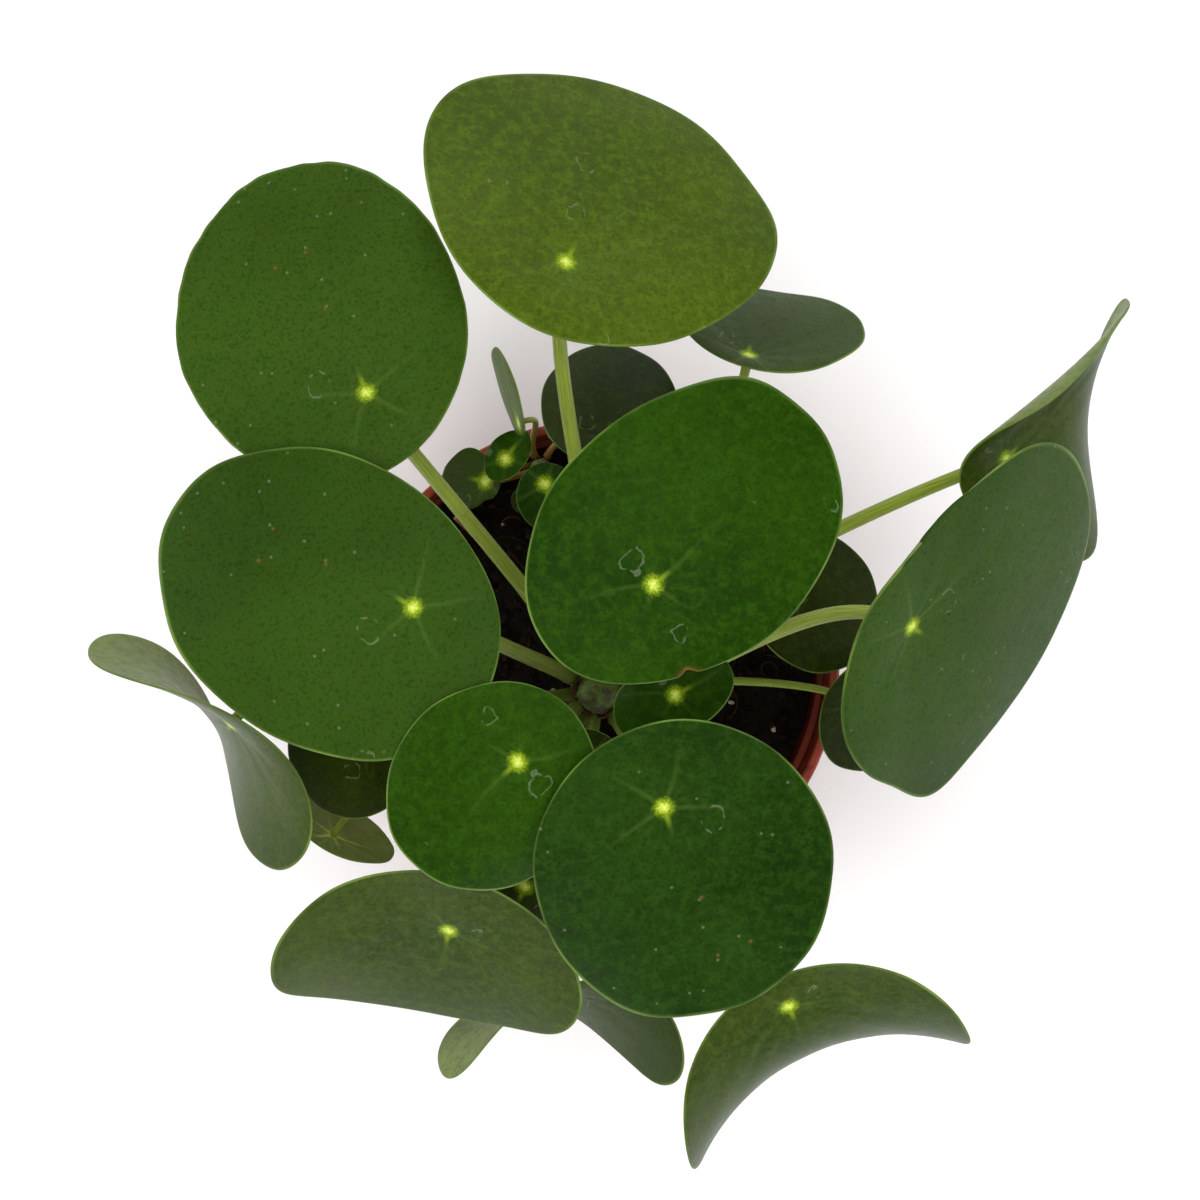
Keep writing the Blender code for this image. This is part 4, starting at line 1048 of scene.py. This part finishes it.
class PileaColours(PropertyGroup):
    """Base colours of the plant and its pot."""
    bloom: colour_property("Bloom", (0.058, 0.112, 0.011), "Pale waxy bloom of some leaves")
    umbo: colour_property("Umbo", (0.33, 0.47, 0.010), "Point over the stalk")
    core: colour_property("Umbo centre", (0.68, 0.74, 0.17), "Palest point of the umbo")
    vein: colour_property("Vein", (0.16, 0.26, 0.05), "Veins on the upper side")
    margin: colour_property("Margin", (0.17, 0.27, 0.05), "Line along a leaf's edge")
    underside: colour_property("Underside", (0.17, 0.23, 0.06), "Under side of a leaf")
    # The rings are dried water marks; the specks paint small glints of light.
    dust_and_glints: colour_property("Dust", (0.45, 0.52, 0.34), "Water rings and specks")
    blemish: colour_property("Blemish", (0.16, 0.07, 0.02), "Brown pin-pricks")
    stalk: colour_property("Stalk", (0.26, 0.34, 0.03), "Leaf stalk")
    stalk_foot: colour_property("Stalk foot", (0.10, 0.13, 0.03), "Leaf stalk near the stem")
    young_stalk: colour_property("Young stalk", (0.30, 0.13, 0.03), "Stalks of the pup's leaves")
    stem: colour_property("Stem", (0.12, 0.19, 0.025), "Green of the stem")
    cork: colour_property("Cork", (0.075, 0.055, 0.030), "Corky patches")
    scar: colour_property("Leaf scar", (0.20, 0.19, 0.09), "Scars on the stem")
    scale: colour_property("Scale", (0.24, 0.080, 0.028), "Dry scales at the tip")
    dry: colour_property("Dried stalk", (0.42, 0.19, 0.05), "Stalk without a leaf")
    peat: colour_property("Peat", (0.0035, 0.0026, 0.0015), "Darkest soil")
    bark: colour_property("Bark", (0.014, 0.0075, 0.004), "Brown soil")
    fibre: colour_property("Fibre", (0.070, 0.027, 0.012), "Fibres and bark bits")
    grit: colour_property("Grit", (0.55, 0.50, 0.42), "Pale grains")
    pot: colour_property("Pot", (0.36, 0.050, 0.028), "Moulded plastic")


class PileaSizes(PropertyGroup):
    """Sizes of the finer shapes."""
    thickness: FloatProperty(name="Blade thickness", description="Thickness of a full-grown blade",
                             default=BLADE_THICKNESS, min=0.0004, max=0.003, unit="LENGTH")
    ripple: FloatProperty(name="Ripple", description="Height of the slow waves of a blade", default=0.0007,
                          min=0.0, max=0.004, unit="LENGTH")
    rings: IntProperty(name="Rings", description="Rings of points on each side of a blade", default=40,
                       min=8, max=80)
    turns: IntProperty(name="Turns", description="Points round a blade", default=200, min=24, max=400)
    lip_roll: FloatProperty(name="Lip roll", description="Radius of the pot's rounded lip", default=0.0009,
                            min=0.0003, max=0.0012, unit="LENGTH")
    soil_rough: FloatProperty(name="Soil roughness", description="Height of the soil's lumps", default=0.0011,
                              min=0.0, max=0.004, unit="LENGTH")
    crumbs: IntProperty(name="Crumbs", description="Loose crumbs on the soil", default=1500, min=0, max=4000)
    fibres: IntProperty(name="Fibres", description="Loose fibres on the soil", default=170, min=0, max=800)


class PileaStage(PropertyGroup):
    """Camera and lights."""
    camera_height: FloatProperty(name="Camera height", description="Lens above the floor", default=0.805,
                                 min=0.3, max=3.0, unit="LENGTH")
    lens: FloatProperty(name="Lens", description="Focal length in millimetres", default=85.41, min=20,
                        max=200)
    power: FloatProperty(name="Light power", description="Power of each soft light", default=23.0, min=0.0,
                         max=200, unit="POWER")
    surround: FloatProperty(name="Surround", description="Brightness of the room", default=0.4, min=0.0,
                            max=5.0)


# ---------------------------------------------------------------- operators
def leaf_piece(leaf, sizes, fine):
    """One leaf: its blade and its stalk in one object, placed as the same leaf without its nicks would be."""
    rings = max(16, int(sizes.rings * fine))
    turns = max(72, int(sizes.turns * fine))
    shells = [blade_shell(leaf, sizes.thickness, sizes.ripple, rings, turns),
              stalk_shell(leaf, STALK_STEPS, STALK_SIDES)]
    piece = add_piece("leaf_" + leaf.name.replace("_leaf", ""), shells, (0, 1))
    plain = blade_shell(leaf._replace(nicks=()), sizes.thickness, sizes.ripple, rings, turns)
    fitted(piece, leaf.name, [plain, shells[1]])
    hand_over(piece, (look(leaf.tone), look("leaf_stalk")), leaf.name)


class PILEA_OT_looks(Operator):
    """Make the leaf and stalk materials that several pieces share"""
    bl_idname = "pilea.looks"
    bl_label = "Leaf looks"

    def execute(self, context):
        # each look's darker and lighter green, its random seed, share of water rings and roughness
        for name, deep, light, seed, rings, shine in (
                ("leaf_bright", (0.0080, 0.030, 0.0006), (0.0165, 0.052, 0.0010), 0.11, 0.22, 0.42),
                ("leaf_deep", (0.0065, 0.022, 0.0014), (0.0135, 0.042, 0.0025), 0.53, 0.14, 0.42),
                ("leaf_olive", (0.039, 0.068, 0.0030), (0.060, 0.098, 0.0050), 0.87, 0.20, 0.44),
                # paler grey-green that paints the sheen of reflected light on leaves tilted to the front and
                # left
                ("leaf_greyed", (0.024, 0.045, 0.0040), (0.042, 0.066, 0.0080), 1.31, 0.12, 0.36),
                # darker copy of the green that paints the shade falling on the lower leaves
                ("leaf_shaded", (0.010, 0.018, 0.0012), (0.020, 0.032, 0.0022), 1.77, 0.12, 0.46)):
            leaf_material(name, deep, light, seed, rings, shine)
        stalk_material()
        return {"FINISHED"}


class PILEA_OT_pot(Operator):
    """Make the plastic pot with its collar, rolled lip and drain holes"""
    bl_idname = "pilea.pot"
    bl_label = "Pot"

    def execute(self, context):
        pot = welded_piece("nursery_pot", pot_grids(context.scene.pilea_sizes.lip_roll))
        hand_over(pot, (pot_material(),), "pot")
        return {"FINISHED"}


class PILEA_OT_soil(Operator):
    """Make the soil with its loose crumbs and fibres"""
    bl_idname = "pilea.soil"
    bl_label = "Soil"

    def execute(self, context):
        sizes = context.scene.pilea_sizes
        peat = soil_material()
        hand_over(add_piece("potting_soil", [soil_shell(sizes.soil_rough)]), (peat,), "soil")
        crumbs = add_piece("soil_crumbs", [crumb_shells(sizes.crumbs, sizes.soil_rough, 21)])
        hand_over(crumbs, (peat,))
        fibres = add_piece("soil_fibres", [fibre_shells(sizes.fibres, sizes.soil_rough, 22)])
        hand_over(fibres, (peat,))
        return {"FINISHED"}


class PILEA_OT_stems(Operator):
    """Make the main stem and the pup's stem with their scars and dry scales"""
    bl_idname = "pilea.stems"
    bl_label = "Stems"

    def execute(self, context):
        bark = stem_material()
        for name, stem, joints, scales, slot, seed in (
                ("main_stem", MAIN_STEM, 6, 12, "stem", 5), ("pup_stem", PUP_STEM, 4, 8, "pup_stem", 8)):
            shells = [stem_shell(stem, joints, seed), scale_shells(stem, scales, seed)]
            piece = add_piece("plant_" + name, shells)
            hand_over(piece, (bark,), name)
        return {"FINISHED"}


class PILEA_OT_dry_stalk(Operator):
    """Make the dried stalk that has lost its leaf"""
    bl_idname = "pilea.dry_stalk"
    bl_label = "Dried stalk"

    def execute(self, context):
        path, _, across, _ = stalk_path(DRY_STALK, DRY_STEPS)
        t = np.linspace(0, 1, DRY_STEPS)
        radii = DRY_RADIUS * (1.1 - 0.6 * t) * (1 + 0.05 * np.sin(t * 60))
        grid, share, turn = carried(path, radii, across, DRY_SIDES, ridges=4, ridge=0.10, seed=3)
        shell = closed_shell(grid, stalk=share, around=turn / (2 * math.pi))
        piece = add_piece("dried_leaf_stalk", [shell])
        fitted(piece, "dry_leaf_stalk", [shell])
        hand_over(piece, (dry_material(),), "dry_leaf_stalk")
        return {"FINISHED"}


class PILEA_OT_leaves(Operator):
    """Make the leaves of the main stem"""
    bl_idname = "pilea.leaves"
    bl_label = "Leaves"

    def execute(self, context):
        for leaf in LEAVES:
            leaf_piece(leaf, context.scene.pilea_sizes, 0.45 + 0.55 * leaf_scale(leaf))
        return {"FINISHED"}


class PILEA_OT_pup_leaves(Operator):
    """Make the small leaves of the pup"""
    bl_idname = "pilea.pup_leaves"
    bl_label = "Pup leaves"

    def execute(self, context):
        for leaf in PUP_LEAVES:
            leaf_piece(leaf, context.scene.pilea_sizes, 0.4)
        return {"FINISHED"}


class PILEA_OT_stage(Operator):
    """Make the floor, the lights, the room and the camera"""
    bl_idname = "pilea.stage"
    bl_label = "Stage"

    def execute(self, context):
        stage = context.scene.pilea_stage
        turns = np.linspace(0, 2 * math.pi, 64, endpoint=False)
        sheet = spun([(0.0, -FLOOR_DROP), (FLOOR_RADIUS, -FLOOR_DROP)], turns)
        floor = welded_piece("studio_floor", [sheet])
        floor.data.materials.append(floor_material())
        # each lamp's place, width, share of the power, and whether it shows in gloss
        for name, place, size, share, shines in (("top_light", (0.0, 0.1, 2.2), 1.8, 2.2, False),
                                                 ("front_light", (-0.3, -1.6, 0.9), 0.8, 0.5, True),
                                                 ("left_light", (-1.6, 0.1, 0.8), 0.8, 0.30, True),
                                                 ("right_light", (1.6, -0.3, 0.8), 0.8, 0.25, True),
                                                 ("back_light", (0.3, 1.7, 0.9), 0.8, 0.25, True)):
            data = bpy.data.lights.new(name, "AREA")
            data.shape = "DISK"
            data.size = size
            data.energy = stage.power * share
            lamp = bpy.data.objects.new(name, data)
            lamp.location = place
            lamp.visible_glossy = shines
            aim = Vector(LAMPS_AIM) - lamp.location
            lamp.rotation_euler = aim.to_track_quat("-Z", "Y").to_euler()
            context.scene.collection.objects.link(lamp)
        room = bpy.data.worlds.new("soft_room")
        room.use_nodes = True
        tree = room.node_tree
        way = put(tree, "ShaderNodeSeparateXYZ", {0: put(tree, "ShaderNodeTexCoord").outputs["Generated"]})
        glow = tint(tree, spread(tree, way.outputs[2], 0.30, 0.66), (1.0, 1.0, 1.0), (0.015, 0.015, 0.015))
        tree.links.new(glow, tree.nodes["Background"].inputs["Color"])
        tree.nodes["Background"].inputs["Strength"].default_value = stage.surround
        context.scene.world = room
        context.scene.view_settings.view_transform = "Standard"
        lens = bpy.data.cameras.new("camera")
        lens.lens = stage.lens
        lens.sensor_width = 36.0
        lens.clip_start = 0.01
        camera = bpy.data.objects.new("camera", lens)
        camera.location = (*CAMERA_OVER, stage.camera_height)
        context.scene.collection.objects.link(camera)
        context.scene.camera = camera
        return {"FINISHED"}


OPERATORS = (PILEA_OT_looks, PILEA_OT_pot, PILEA_OT_soil, PILEA_OT_stems, PILEA_OT_dry_stalk, PILEA_OT_leaves,
             PILEA_OT_pup_leaves, PILEA_OT_stage)


class PILEA_PT_panel(Panel):
    """Lists what can be built and the values that shape it"""
    bl_label = "Potted Pilea"
    bl_idname = "PILEA_PT_panel"
    bl_space_type = "VIEW_3D"
    bl_region_type = "UI"
    bl_category = "Pilea"

    def draw(self, context):
        for operator in OPERATORS:
            self.layout.operator(operator.bl_idname)
        for group in (context.scene.pilea_sizes, context.scene.pilea_colours, context.scene.pilea_stage):
            box = self.layout.box()
            for key in group.__annotations__:
                box.prop(group, key)


CLASSES = (PileaColours, PileaSizes, PileaStage, *OPERATORS, PILEA_PT_panel)


def register():
    for made in CLASSES:
        bpy.utils.register_class(made)
    bpy.types.Scene.pilea_colours = PointerProperty(type=PileaColours)
    bpy.types.Scene.pilea_sizes = PointerProperty(type=PileaSizes)
    bpy.types.Scene.pilea_stage = PointerProperty(type=PileaStage)


def unregister():
    for key in ("pilea_stage", "pilea_sizes", "pilea_colours"):
        delattr(bpy.types.Scene, key)
    for made in reversed(CLASSES):
        bpy.utils.unregister_class(made)


def main():
    register()
    bpy.ops.pilea.looks()
    bpy.ops.pilea.pot()
    bpy.ops.pilea.soil()
    bpy.ops.pilea.stems()
    bpy.ops.pilea.dry_stalk()
    bpy.ops.pilea.leaves()
    bpy.ops.pilea.pup_leaves()
    bpy.ops.pilea.stage()


if __name__ == "__main__":
    main()
